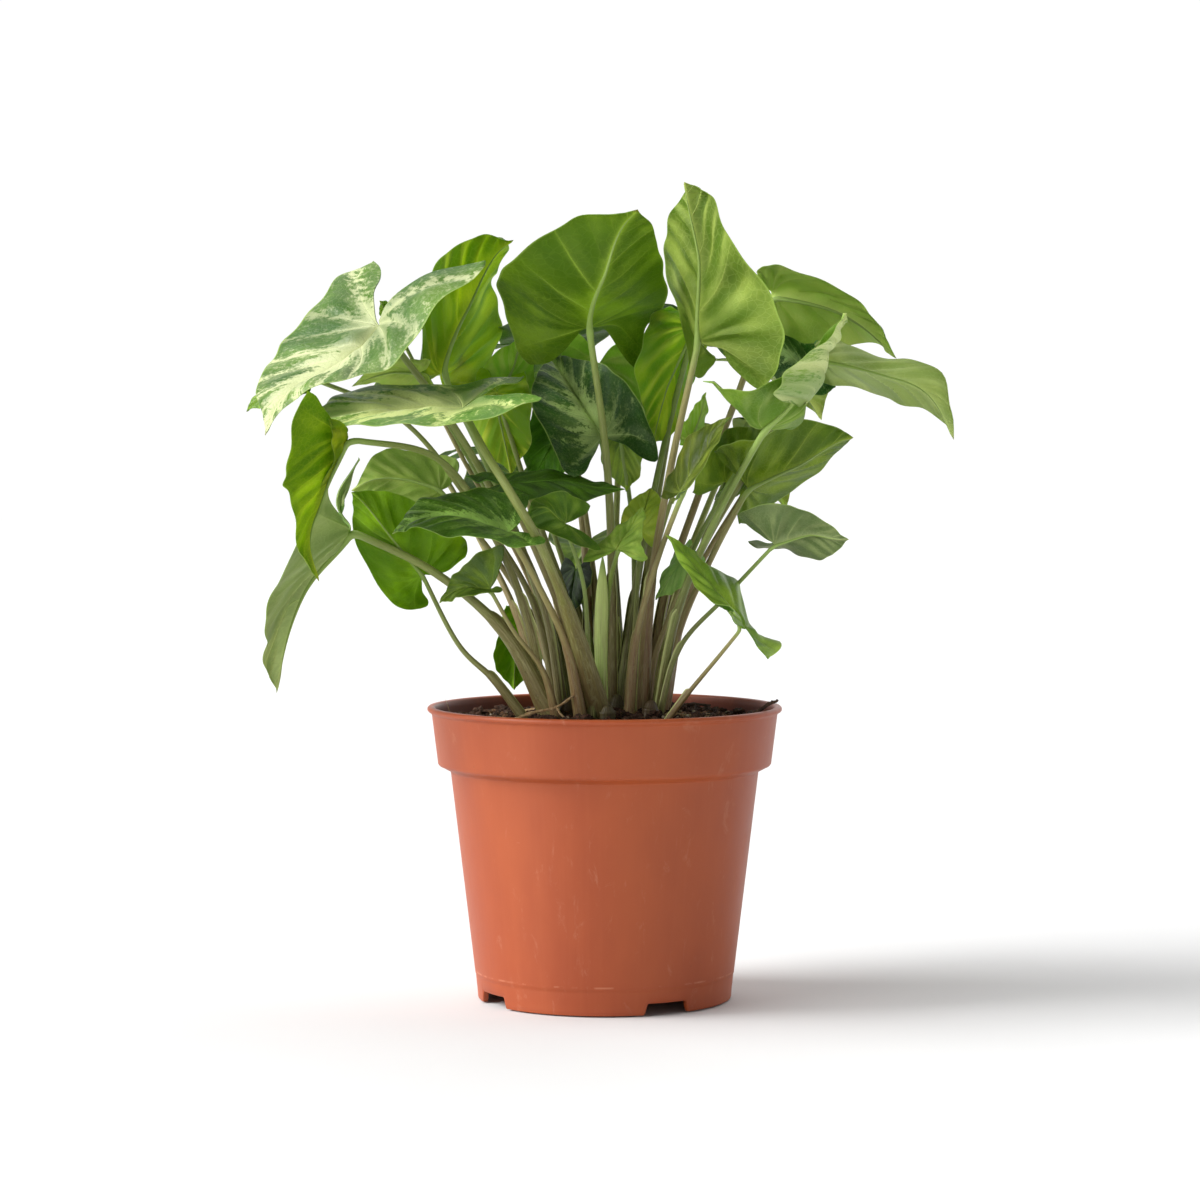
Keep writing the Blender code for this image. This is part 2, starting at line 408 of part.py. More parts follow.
def boolean(obj, other, operation):
    mod = obj.modifiers.new(other.name, "BOOLEAN")
    mod.operation = operation
    mod.object = other
    mod.solver = "EXACT"
    return mod


def tube(path, radii, sides):
    """A closed round bar along a path (mm), its rings carried along without twisting."""
    path = np.asarray(path, float)
    heading = np.gradient(path, axis=0)
    heading /= np.linalg.norm(heading, axis=1)[:, None]
    bm = bmesh.new()
    rings = []
    side = None
    for k, (p, t) in enumerate(zip(path, heading)):
        side = np.cross(t, (0.31, 0.95, 0.05)) if side is None else side - t * (side @ t)
        side /= np.linalg.norm(side)
        other = np.cross(t, side)
        ring = []
        for j in range(sides):
            a = 2 * math.pi * j / sides
            ring.append(bm.verts.new(MM * (p + radii[k] * (math.cos(a) * side + math.sin(a) * other))))
        rings.append(ring)
    for lower, upper in zip(rings, rings[1:]):
        for j in range(sides):
            bm.faces.new((lower[j], lower[(j + 1) % sides], upper[(j + 1) % sides], upper[j]))
    bm.faces.new(rings[0][::-1])
    bm.faces.new(rings[-1])
    return bm


def turned(profile, segments):
    """A closed turned solid: the profile (r, z) runs from axis to axis round the section."""
    bm = bmesh.new()
    rings = []
    for r, z in profile:
        if r == 0:
            rings.append([bm.verts.new((0, 0, z * MM))])
        else:
            rings.append([bm.verts.new((r * MM * math.sin(2 * math.pi * j / segments),
                                        -r * MM * math.cos(2 * math.pi * j / segments), z * MM))
                          for j in range(segments)])
    for a, b in zip(rings, rings[1:]):
        for j in range(segments):
            k = (j + 1) % segments
            if len(a) == 1:
                bm.faces.new((a[0], b[j], b[k]))
            elif len(b) == 1:
                bm.faces.new((a[j], a[k], b[0]))
            else:
                bm.faces.new((a[j], a[k], b[k], b[j]))
    return bm


def cylinder(x, y, z0, z1, radius, sides):
    bm = bmesh.new()
    bmesh.ops.create_cone(bm, cap_ends=True, segments=sides, radius1=radius * MM, radius2=radius * MM,
                          depth=(z1 - z0) * MM)
    bmesh.ops.translate(bm, verts=bm.verts, vec=(x * MM, y * MM, 0.5 * (z0 + z1) * MM))
    return bm


# ================================================================ pieces
def pot_inner_radius(z):
    """Radius of the pot's inner wall at a height."""
    pts = [(FLOOR_TOP_Z, 41.6), (FLOOR_TOP_Z + 1.0, 42.5), (BODY_TOP_Z + 0.4, BODY_TOP_RADIUS - WALL),
           (COLLAR_BOTTOM_Z + 1.0, COLLAR_BOTTOM_RADIUS - WALL), (POT_HEIGHT - 2.0, COLLAR_TOP_RADIUS - WALL)]
    return float(np.interp(z, [p[0] for p in pts], [p[1] for p in pts]))


def build_pot(parent):
    ring_in = BASE_RADIUS - FOOT_RING_WIDTH
    profile = [
        (0, 0.0), (CENTRE_FOOT_RADIUS, 0.0), (CENTRE_FOOT_RADIUS + CENTRE_SLOPE, FLOOR_UNDER_Z),
        (ring_in - 0.6, FLOOR_UNDER_Z), (ring_in, FLOOR_UNDER_Z - 0.6),
        (ring_in, 0.0), (BASE_RADIUS - 0.5, 0.0), (BASE_RADIUS, 0.6), (BASE_RADIUS + 0.6, 6.0),
        (BODY_TOP_RADIUS, BODY_TOP_Z), (COLLAR_BOTTOM_RADIUS - 1.3, COLLAR_BOTTOM_Z - 0.6),
        (COLLAR_BOTTOM_RADIUS, COLLAR_BOTTOM_Z + 0.6),
        (COLLAR_TOP_RADIUS, POT_HEIGHT - LIP_HEIGHT - 0.9), (RIM_RADIUS - 0.2, POT_HEIGHT - LIP_HEIGHT),
        (RIM_RADIUS, POT_HEIGHT - 0.7), (RIM_RADIUS - 0.8, POT_HEIGHT), (COLLAR_TOP_RADIUS - 0.6, POT_HEIGHT - 0.2),
        (COLLAR_TOP_RADIUS - WALL, POT_HEIGHT - 2.0), (COLLAR_BOTTOM_RADIUS - WALL, COLLAR_BOTTOM_Z + 1.0),
        (BODY_TOP_RADIUS - WALL, BODY_TOP_Z + 0.4), (42.5, FLOOR_TOP_Z + 1.0), (41.6, FLOOR_TOP_Z),
        (CENTRE_FOOT_RADIUS + CENTRE_SLOPE - 0.5, FLOOR_TOP_Z), (CENTRE_FOOT_RADIUS - 0.5, WALL), (0, WALL),
    ]
    pot = make_object("pot", turned(profile, POT_SEGMENTS),
                      make_material("terracotta_plastic", (0.53, 0.19, 0.085), 0.5), parent, 35.0)
    for n, angle in enumerate(NOTCH_ANGLES):
        # slant-sided water notch, open at the foot
        a = math.radians(angle)
        out = np.array([math.sin(a), -math.cos(a), 0.0])
        across = np.array([math.cos(a), math.sin(a), 0.0])
        bm = bmesh.new()
        ends = []
        for r in (BASE_RADIUS - 7.0, BASE_RADIUS + 4.0):
            ends.append([bm.verts.new(MM * (out * r + across * w + np.array([0, 0, z])))
                         for w, z in ((-NOTCH_WIDTH_BOTTOM / 2, -2.0), (NOTCH_WIDTH_BOTTOM / 2, -2.0),
                                      (NOTCH_WIDTH_TOP / 2, NOTCH_HEIGHT), (-NOTCH_WIDTH_TOP / 2, NOTCH_HEIGHT))])
        for j in range(4):
            bm.faces.new((ends[0][j], ends[0][(j + 1) % 4], ends[1][(j + 1) % 4], ends[1][j]))
        bm.faces.new(ends[0][::-1])
        bm.faces.new(ends[1])
        boolean(pot, make_guide("guide_notch_%d" % n, bm, parent), "DIFFERENCE")
    for n, angle in enumerate(DRAIN_ANGLES):
        a = math.radians(angle)
        hole = cylinder(DRAIN_CIRCLE * math.sin(a), -DRAIN_CIRCLE * math.cos(a),
                        FLOOR_UNDER_Z - 3, FLOOR_TOP_Z + 3, DRAIN_RADIUS, 12)
        boolean(pot, make_guide("guide_drain_%d" % n, hole, parent), "DIFFERENCE")
    return pot


def build_soil(parent):
    rim = pot_inner_radius(SOIL_CENTRE_Z - SOIL_FALL) - GAP
    profile = [(0, WALL + GAP), (CENTRE_FOOT_RADIUS - 0.5 - 2 * GAP, WALL + GAP),
               (CENTRE_FOOT_RADIUS + CENTRE_SLOPE - 0.5 - 2 * GAP, FLOOR_TOP_Z + GAP),
               (41.6 - GAP, FLOOR_TOP_Z + GAP), (42.5 - GAP, FLOOR_TOP_Z + 1.0 + GAP / 2),
               (BODY_TOP_RADIUS - WALL - GAP, BODY_TOP_Z + 0.4), (COLLAR_BOTTOM_RADIUS - WALL - GAP, COLLAR_BOTTOM_Z + 1.4),
               (rim, SOIL_CENTRE_Z - SOIL_FALL)]
    for r in (42.0, 28.0, 14.0, 0):
        profile.append((r, soil_z(r, 0)))
    soil = make_object("soil", turned(profile, SOIL_SEGMENTS), make_material("potting_soil", (0.022, 0.015, 0.011), 0.95), parent)
    for name, (x, y), radius, height, lean in STEMS:
        # socket that the planted stem stands in
        z = soil_z(x, y)
        bore = tube([(x, y, z - STEM_DEPTH - GAP), (x, y, z + 6.0)], [radius + GAP] * 2, STEM_SIDES)
        boolean(soil, make_guide("guide_socket_" + name, bore, parent), "DIFFERENCE")
    return soil


def build_stem(parent, name, foot, radius, height, lean):
    x, y = foot
    z = soil_z(x, y)
    # straight in the soil, swelling a little, then the sheath narrows and closes at the top
    path = [(x, y, z - STEM_DEPTH), (x, y, z), (x + 0.15 * lean[0], y + 0.15 * lean[1], z + 0.35 * height),
            (x + 0.55 * lean[0], y + 0.55 * lean[1], z + 0.72 * height),
            (x + 0.9 * lean[0], y + 0.9 * lean[1], z + 0.94 * height), (x + lean[0], y + lean[1], z + height)]
    radii = [radius - 0.4, radius, radius * 0.97, radius * 0.85, radius * 0.6, radius * 0.25]
    return make_object(name, tube(path, radii, STEM_SIDES), make_material(name + "_skin", (0.17, 0.20, 0.07), 0.6), parent)


def build_root(parent, name, points):
    xy = chain(points, 12)
    path = [(x, y, soil_z(x, y) + ROOT_RADIUS + GAP) for x, y in xy]
    radii = [ROOT_RADIUS * (0.45 + 0.55 * math.sin(math.pi * (0.12 + 0.76 * k / 11))) for k in range(12)]
    return make_object(name, tube(path, radii, 6), make_material(name + "_skin", (0.50, 0.36, 0.20), 0.8), parent)


def build_spear(parent):
    x, y = SPEAR_FOOT
    return make_object("new_leaf", tube([(x, y, z) for z, r in SPEAR_STATIONS], [r for z, r in SPEAR_STATIONS], SPEAR_SIDES),
                       make_material("new_leaf_skin", (0.36, 0.46, 0.12), 0.5), parent)


def blade_sheet(bend, n_mid, n_lobe, m):
    """The blade's middle surface: a grid from the midrib and the sinus edge out to the margin."""
    rows = n_mid + n_lobe
    inner = [(0, 1 - i / n_mid) for i in range(n_mid + 1)] + [tuple(p) for p in chain(SINUS_EDGE, n_lobe + 1)[1:]]
    shares = [(i / n_mid) ** 0.9 * OUTER_SHARE for i in range(n_mid + 1)]
    shares += [OUTER_SHARE + (1 - OUTER_SHARE) * i / n_lobe for i in range(1, n_lobe + 1)]
    outer = chain(OUTER_EDGE, shares)
    bm = bmesh.new()
    made = {}

    def vert(sign, i, j):
        key = ("tip",) if i == 0 else ("rib", i) if (j == 0 and i <= n_mid) else \
            ("lobe", sign) if i == rows else (sign, i, j)
        if key not in made:
            x = inner[i][0] * (1 - j / m) + outer[i][0] * j / m
            y = inner[i][1] * (1 - j / m) + outer[i][1] * j / m
            made[key] = bm.verts.new(MM * bend((sign * x, y))[0])
        return made[key]

    for sign in (1, -1):
        for i in range(rows):
            for j in range(m):
                loop = []
                for v in (vert(sign, i, j), vert(sign, i + 1, j), vert(sign, i + 1, j + 1), vert(sign, i, j + 1)):
                    if v not in loop:
                        loop.append(v)
                if len(loop) > 2:
                    bm.faces.new(loop if sign == 1 else loop[::-1])
    return bm


def build_leaf(parent, leaf):
    flat, space, length, up = leaf_marks(leaf)
    bend = plate_spline(flat, space)
    large = length > 24
    # the blade, a thin sheet given its thickness both ways
    mesh = bpy.data.meshes.new(leaf.name)
    bm = blade_sheet(bend, *((5, 2, 2) if large else (4, 1, 2)))
    bm.to_mesh(mesh)
    bm.free()
    blade = bpy.data.objects.new(leaf.name, mesh)
    bpy.context.scene.collection.objects.link(blade)
    blade.parent = parent
    mesh.materials.append(make_material(leaf.name + "_" + leaf.tint, TINTS[leaf.tint], 0.45))
    mesh.shade_smooth()
    solid = blade.modifiers.new("thickness", "SOLIDIFY")
    solid.thickness = BLADE_THICKNESS * MM
    solid.offset = 0.0
    # the petiole, from the soil to the hub, thinner upwards
    top, bottom = 0.50 + 0.010 * length, 0.95 + 0.014 * length
    x, y = leaf.foot
    n = 8 if large else 6
    path = chain([(x, y, soil_z(x, y) + GAP)] + list(leaf.stalk) + [leaf.hub], n)
    lean = (path[1] - path[0]) / np.linalg.norm(path[1] - path[0])
    path[0][2] += bottom * math.hypot(lean[0], lean[1])      # the slanting foot clears the soil
    petiole = tube(path, np.linspace(bottom, top, n), STALK_SIDES)
    boolean(blade, make_guide("guide_petiole_" + leaf.name, petiole, parent), "UNION")
    # the midrib, half sunk in the underside, running out towards the tip
    rib = [bend((0, t))[0] - up * d for t, d in ((0.0, 0.30), (0.22, 0.28), (0.52, 0.22))]
    ridge = tube(rib, [0.85 * top, 0.62 * top, 0.30 * top], 4)
    boolean(blade, make_guide("guide_midrib_" + leaf.name, ridge, parent), "UNION")
    return blade


def build():
    for obj in list(bpy.data.objects):
        bpy.data.objects.remove(obj, do_unlink=True)
    root = bpy.data.objects.new("potted_syngonium", None)
    bpy.context.scene.collection.objects.link(root)
    build_pot(root)
    build_soil(root)
    for stem in STEMS:
        build_stem(root, *stem)
    for name, points in ROOTS:
        build_root(root, name, points)
    build_spear(root)
    for leaf in LEAVES:
        build_leaf(root, leaf)
    bpy.context.view_layer.update()


build()
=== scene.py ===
import math
from collections import namedtuple

import bmesh
import bpy
import numpy as np
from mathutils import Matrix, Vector


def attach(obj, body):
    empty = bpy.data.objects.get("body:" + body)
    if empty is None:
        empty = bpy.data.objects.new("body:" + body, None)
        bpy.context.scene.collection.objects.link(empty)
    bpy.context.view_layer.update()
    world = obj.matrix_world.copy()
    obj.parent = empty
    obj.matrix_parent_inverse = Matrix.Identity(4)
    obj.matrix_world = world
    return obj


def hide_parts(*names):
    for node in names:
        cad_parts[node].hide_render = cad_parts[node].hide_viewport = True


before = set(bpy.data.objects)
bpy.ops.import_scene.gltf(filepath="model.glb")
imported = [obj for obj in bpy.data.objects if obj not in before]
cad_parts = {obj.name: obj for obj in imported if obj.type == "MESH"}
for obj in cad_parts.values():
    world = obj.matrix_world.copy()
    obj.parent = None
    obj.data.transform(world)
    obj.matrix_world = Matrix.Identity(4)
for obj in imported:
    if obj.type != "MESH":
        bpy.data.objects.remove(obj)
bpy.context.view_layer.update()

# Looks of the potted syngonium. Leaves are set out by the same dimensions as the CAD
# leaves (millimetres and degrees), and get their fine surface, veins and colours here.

MM = 0.001

# ------------------------------------------------------------------ camera first
cam_data = bpy.data.cameras.new("Camera")
cam = bpy.data.objects.new("Camera", cam_data)
bpy.context.scene.collection.objects.link(cam)
cam.location = (-0.00157, -1.2, 0.1938)
cam.rotation_euler = (math.radians(90 - 2.817), 0, 0)
cam_data.sensor_width = 36.0
cam_data.lens = 106.56
cam_data.clip_end = 50
bpy.context.scene.camera = cam
bpy.context.scene.view_settings.view_transform = "Standard"
bpy.context.scene.view_settings.look = "None"

# ------------------------------------------------------------------ leaf design, as in the CAD
SOIL_CENTRE_Z = 96.2
SOIL_FALL = 2.6
SOIL_FALL_RADIUS = 54.0
Leaf = namedtuple("Leaf", "name tint hub tip face rib left right shoulder spread notch foot stalk",
                  defaults=[None] * 13)
LEAVES = [
    # outer left, the largest variegated blade
    Leaf("leaf_01", "cream", hub=(-75, -17.5, 226), tip=(-112, -37, 191), face=(-136, 49), rib=(0, 2, -1),
         left=(28, 2, 12, 41, 4, 0.5), right=(33, 5, 1, 31.5, 0, 5),
         shoulder=(0.77, 0.89), spread=(0.53, 1.13), notch=(0.7, 1),
         foot=(-13.5, -3.5), stalk=[(-20, -5, 132), (-35, -1, 166), (-52.5, -12, 196.5)]),
    # upper left, back-lit
    Leaf("leaf_02", "lime", hub=(-56, 19, 212), tip=(-31, 12, 257), face=(157, 29), rib=(-0.5, 3, -1),
         left=(35, 7, 7, 22, -15, 17), right=(35.5, 6, 4, 25.5, -15, 17),
         shoulder=(0.62, 0.65), spread=(0.73, 0.53), notch=(1.4, 0.9),
         foot=(-9.5, 8.5), stalk=[(-22.5, 11, 136), (-37.5, 15, 174.5)]),
    # front left, seen nearly edge on
    Leaf("leaf_03", "cream", hub=(-46, -41.5, 199), tip=(-101.5, -44.5, 190), face=(-123, 75), rib=(2.5, 3, 0),
         left=(28.5, 5, -2, 35, 2, 9.5), right=(26, 6, 6, 29.5, -2, 7.5),
         shoulder=(0.63, 0.77), spread=(0.67, 0.95), notch=(0.7, 0.8),
         foot=(-3, -11), stalk=[(-8, -17, 124.5), (-19.5, -27, 150.5), (-34, -34.5, 173)]),
    # hanging at the far left
    Leaf("leaf_04", "lime", hub=(-83.5, -53, 189), tip=(-92.5, -65, 144.5), face=(191, 14), rib=(4, 6, -3.5),
         left=(26, 43, -15, 20.5, -6, 14.5), right=(2.5, 165, -31, 9.5, -23, 7),
         shoulder=(0.99, 0.63), spread=(1.15, 5.07), notch=(1.1, 1.8),
         foot=(-19.5, -9.5), stalk=[(-25.5, -17, 128), (-37, -26, 158), (-55, -38, 183)]),
    # lowest left, hanging, long lobe
    Leaf("leaf_05", "grey_green", hub=(-86, -18, 159), tip=(-110, -19, 105), face=(170, 23), rib=(-3.5, 4.5, -5.5),
         left=(28.5, 15, -11, 36.5, -5, 24), right=(6.5, 28, -11, 28.5, 107, 5),
         shoulder=(0.64, 1.41), spread=(1.16, 0.74), notch=(1.1, 0.7),
         foot=(-16.5, -15.5), stalk=[(-33, -16.5, 124), (-57, -18, 145)]),
    Leaf("leaf_06", "pale", hub=(-56, -1, 171), tip=(-85.5, 0, 172), face=(89, -47), rib=(-2, -3, 0),
         left=(15, -10, -20, 8.5, -16, 2), right=(14, -10, 12, 6.5, 29, 2),
         foot=(-14, 3), stalk=[(-22.5, 3.5, 124), (-37, 1, 149)]),
    Leaf("leaf_07", "mid", hub=(-62, -11, 144), tip=(-83.5, -29.5, 172), face=(111, 19), rib=(-1, 1, 0.5),
         left=(17.5, -4, 35, 11, 13, 3), right=(13, -3, 39, 7.5, -66, 1),
         shoulder=(0.72, 0.97), spread=(0.87, 0.82), notch=(1.2, 1.2),
         foot=(-29, -14), stalk=[(-39, -13, 112.5), (-53, -12, 127)]),
    Leaf("leaf_08", "dark", hub=(-31, -49.5, 159.5), tip=(-69.5, -48, 159.5), face=(-91, 64), rib=(1, 4, 0),
         left=(18, 16, -9, 17.5, -5, 5), right=(19, 16, -13, 14, 2, 8),
         foot=(-7.5, -20), stalk=[(-12.5, -27, 120), (-21.5, -37.5, 141)]),
    Leaf("leaf_09", "dark", hub=(-33, -16, 174), tip=(7, -15.5, 173), face=(-87, 70), rib=(-1, 2, 1),
         left=(16, -4, -6, 15, 3, 1.5), right=(16, -4, -11, 10, 1, 2.5),
         shoulder=(0.81, 0.85), spread=(0.32, 0.82), notch=(1, 1.3),
         foot=(-7, -2), stalk=[(-12.5, -4.5, 124), (-22, -9.5, 149)]),
    Leaf("leaf_10", "mid", hub=(-13, -31, 162), tip=(-26, -41, 165), face=(-49, 20), rib=(3.5, 0.5, 0),
         left=(6.5, 7, -46, 13, 17, 3.5), right=(8.5, 7, -32, 9, 15, 0),
         shoulder=(1.11, 0.62), spread=(1.51, 0.8), notch=(1, 1),
         foot=(-4, -19), stalk=[(-5.5, -21, 118.5), (-7, -25, 141)]),
    Leaf("leaf_11", "lime", hub=(4, -30, 153), tip=(13, -18, 167), face=(-132, 47), rib=(0, -0.5, 0.5),
         left=(8, 8, -5, 10.5, 10, 2), right=(9.5, 7, 4, 3.5, -24, 0.5),
         shoulder=(0.67, 0.64), spread=(1.03, 1.21), notch=(0.8, 1.1),
         foot=(-2, -8), stalk=[(0, -6, 118.5), (1.5, -12.5, 139)]),
    Leaf("leaf_12", "mid", hub=(-38, -30.5, 140), tip=(-55, -23.5, 135), face=(-130, 48), rib=(1, 2.5, 0),
         left=(9, 32, -24, 7.5, -20, 0.5), right=(10.5, 30, -15, 12.5, 2, 6),
         shoulder=(0.81, 0.52), spread=(0.67, 1.3), notch=(1, 0.9),
         foot=(-15.5, -18.5), stalk=[(-20.5, -21.5, 112), (-30, -25.5, 125.5)]),
    Leaf("leaf_13", "mid", hub=(-28, 25, 127), tip=(-31, 31, 102), face=(130, 15), rib=(-1, 1, 0),
         left=(11.5, -9, 11, 9.5, 7, 4.5), right=(12.5, -10, -27, 8.5, 27, 6),
         foot=(-16.5, 16), stalk=[(-18, 18, 107.5), (-22.5, 21.5, 117.5)]),
    # tall blade at the top, underside out
    Leaf("leaf_14", "mid", hub=(-6, -6, 227), tip=(10, -47, 264), face=(104, 50), rib=(2.5, -2, 1),
         left=(28.5, 22, 0, 18, -22, 0), right=(32, 17, 4, 21.5, 0, -3),
         shoulder=(0.81, 0.89), spread=(0.87, 0.38), notch=(0.9, 0.8),
         foot=(2.5, 3.5), stalk=[(2.5, 1, 140), (0.5, -5, 183.5)]),
    # tallest blade
    Leaf("leaf_15", "lime", hub=(32, -17.5, 223), tip=(27, -31.5, 273.5), face=(37, 14), rib=(-3.5, 0.5, 3),
         left=(38, 3, -5, 22, -3, 7), right=(30, 21, -16, 10.5, 7, 1),
         shoulder=(0.49, 0.79), spread=(0.76, 0.7), notch=(0.7, 0.7),
         foot=(12.5, -6), stalk=[(15.5, -8.5, 139), (22.5, -10.5, 181.5)]),
    Leaf("leaf_16", "lime", hub=(29, 22, 226), tip=(15, 11.5, 187), face=(154, 12), rib=(0.5, 2, 0.5),
         left=(23, 6, -2, 14, 6, 12), right=(23, 7, -14, 13, -9, 8),
         shoulder=(0.57, 0.64), spread=(0.72, 0.74), notch=(1.2, 1.2),
         foot=(4.5, 11.5), stalk=[(11, 14.5, 140), (19.5, 18.5, 183)]),
    # centre, dark with a pale heart
    Leaf("leaf_17", "dark", hub=(-1, 0, 190), tip=(-19, 21.5, 217), face=(-96, 37), rib=(0, 0.5, 0),
         left=(18, 23, 8, 16.5, -10, 3.5), right=(16.5, 24, 9, 20, -47, 4),
         shoulder=(1, 0.79), spread=(0.95, 0.8), notch=(1.6, 1.1),
         foot=(4, 16), stalk=[(4.5, 14, 120), (3, 8, 143), (2, 5.5, 166.5)]),
    Leaf("leaf_18", "dark", hub=(-13, 23.5, 196), tip=(-25, 13.5, 174), face=(-111, 32), rib=(1.5, -2, 0),
         left=(11.5, 3, -32, 8.5, 21, 4.5), right=(13.5, 2, -8, 8.5, 5, 2.5),
         foot=(-0.5, 21.5), stalk=[(-2.5, 22, 129.5), (-6.5, 23, 163)]),
    Leaf("leaf_19", "lime", hub=(-37, 20, 205), tip=(-32, 22, 177), face=(49, 10), rib=(-0.5, -0.5, 0),
         left=(13.5, -1, -18, 14, 23, 4.5), right=(16.5, -1, 6, 9.5, 5, 3.5),
         foot=(-5.5, 16), stalk=[(-13, 17, 133.5), (-25.5, 18.5, 169)]),
    Leaf("leaf_20", "mid", hub=(-35, 34, 205), tip=(-28, 20, 224), face=(66, 28), rib=(-0.5, -0.5, 0.5),
         left=(10, 7, 42, 7.5, 16, 3.5), right=(10.5, 7, 14, 9.5, 33, 0.5),
         shoulder=(0.71, 0.83), spread=(1.37, 0.57), notch=(1.2, 1),
         foot=(-2, 25), stalk=[(-10.5, 30.5, 133), (-22, 31, 169.5)]),
    # arching over the right
    Leaf("leaf_21", "pale", hub=(58, 30, 238), tip=(100, 16, 217), face=(40, 47), rib=(6, 2.5, 0),
         left=(23.5, -2, 3, 3, -29, 5.5), right=(25.5, -5, 24, 9, -6, 3.5),
         shoulder=(0.97, 0.29), spread=(0.84, 0.64), notch=(1.1, 0.9),
         foot=(15, 20.5), stalk=[(20.5, 23, 133), (32, 25.5, 168.5), (45.5, 27.5, 203)]),
    # drooping at the far right
    Leaf("leaf_22", "grey_green", hub=(73.5, 3, 217), tip=(118.5, -2, 189), face=(18, 56), rib=(3, 6, -4),
         left=(24.5, -3, 4, 4.5, -9, 4.5), right=(27, -3, 27, 6.5, -5, 3),
         shoulder=(0.91, 0.68), spread=(0.71, 0.72), notch=(1.4, 1),
         foot=(16, 9.5), stalk=[(27.5, 8, 139.5), (49, 5.5, 179.5)]),
    # young folded blade, right
    Leaf("leaf_23", "cream", hub=(53, -30, 194), tip=(77, -55, 230), face=(140, 44), rib=(0, 1, -1.5),
         left=(18.5, -1, 14, 14, -5, 7.5), right=(19, 3, -21, 8.5, 39, 11.5),
         shoulder=(1.1, 1.01), spread=(1.01, 1.25), notch=(0.6, 1.1),
         foot=(16.5, -5), stalk=[(24, -12, 130.5), (37, -20.5, 163)]),
    Leaf("leaf_24", "dark", hub=(71, 29.5, 212), tip=(54, 20.5, 221), face=(-54, 16), rib=(1, -0.5, 0),
         left=(10, -6, -16, 7.5, 60, -0.5), right=(13.5, -5, -6, 8.5, 21, 0),
         foot=(20.5, 15), stalk=[(29.5, 20, 137.5), (50.5, 26, 174.5)]),
    Leaf("leaf_25", "mid", hub=(49, 4, 173), tip=(84, 3, 190), face=(122, 49), rib=(-0.5, -0.5, 2),
         left=(22, 6, 10, 10.5, -12, 2.5), right=(22.5, 6, 15, 9, 12, 3.5),
         shoulder=(0.72, 0.81), spread=(0.68, 0.84), notch=(0.9, 1.1),
         foot=(19, 4), stalk=[(25, 4, 123), (36, 4, 148.5)]),
    Leaf("leaf_26", "dark", hub=(42, 13, 174), tip=(57, 18, 192), face=(131, 18), rib=(2, 0, 0),
         left=(12, 12, -9, 5.5, 30, 0), right=(13.5, 11, -3, 17.5, -3, 5.5),
         foot=(17, 12.5), stalk=[(21.5, 13, 123.5), (29.5, 12.5, 149.5)]),
    # young blade still half rolled
    Leaf("leaf_27", "mid", hub=(25, -26.5, 172), tip=(42, -26.5, 197), face=(-164, 33), rib=(-0.5, 0, 0),
         left=(15.5, 10, 11, 11, -7, 5), right=(15, 10, -3, 8, 4, 3),
         foot=(8, -12), stalk=[(10.5, -15, 122.5), (17, -21, 147.5)]),
    Leaf("leaf_28", "lime", hub=(29, -2, 189), tip=(34, -1, 205), face=(148, 13), rib=(0.5, -0.5, 0),
         left=(7.5, -1, 3, 6, -6, 3), right=(7, -1, 3, 5.5, -5, 2.5),
         foot=(9.5, 2), stalk=[(12, 1, 128), (19.5, -0.5, 159)]),
    Leaf("leaf_29", "mid", hub=(57, -18, 155), tip=(80, -30, 156), face=(66, 57), rib=(-2, 1.5, 0),
         left=(11.5, 17, -28, 12, 12, -2), right=(18.5, 15, 0, 11.5, -9, 3),
         foot=(17.5, -9), stalk=[(25, -11, 119), (41, -13, 137)]),
    # low right, twisted
    Leaf("leaf_30", "mid", hub=(45, -35, 127), tip=(20, -26, 158), face=(-12, 40), rib=(-2, 1, -2),
         left=(13, 14, -30, 1.5, -3, 3.5), right=(19, 12, -4, 19, -2, 5),
         shoulder=(0.42, 0.91), spread=(1.85, 0.5), notch=(0.3, 0.7),
         foot=(19, -18), stalk=[(25.5, -22.5, 108.5), (35.5, -28.5, 118)]),
    Leaf("leaf_31", "mid", hub=(12, 6, 158), tip=(16, 14, 172), face=(-105, 32), rib=(-0.5, 0.5, 0),
         left=(7, 29, -10, 8.5, -24, 1.5), right=(8.5, 27, -8, 9, -29, 3),
         foot=(6, 9), stalk=[(9.5, 4.5, 116.5), (11, 6, 137)]),
    Leaf("leaf_32", "pale", hub=(-62, -6.5, 212), tip=(-85, -4.5, 207), face=(98, 43), rib=(-2.5, 0.5, 0),
         left=(9, -15, 2, 6.5, -7, 1.5), right=(8.5, -16, 7, 6, -20, 2),
         foot=(-11.5, 5.5), stalk=[(-22, 4, 138), (-42, 1.5, 175.5)]),
    Leaf("leaf_33", "lime", hub=(-71, 18, 226), tip=(-77, 21, 237), face=(50, 8), rib=(-0.5, -0.5, 0),
         left=(6, -1, 1, 6, 10, 2.5), right=(6, -1, 0, 5.5, 19, 2),
         foot=(-10, 12), stalk=[(-26, 14, 141.5), (-49, 15.5, 183.5)]),
    Leaf("leaf_34", "mid", hub=(-102, -8, 212), tip=(-120, -5, 199), face=(-136, 40), rib=(1, 0.5, 0),
         left=(11.5, -3, 0, 6.5, -11, 6), right=(9.5, -3, 1, 6.5, -20, 4),
         foot=(-15.5, -0.5), stalk=[(-24, -1.5, 133.5), (-44, -4, 166), (-68, -6.5, 195.5)]),
    Leaf("leaf_35", "dark", hub=(-10, 24, 144), tip=(-13, 21.5, 127), face=(-134, 13), rib=(-1, 0.5, 0),
         left=(8, -1, -3, 5, 14, 2.5), right=(6.5, -2, -2, 6.5, 7, 2.5),
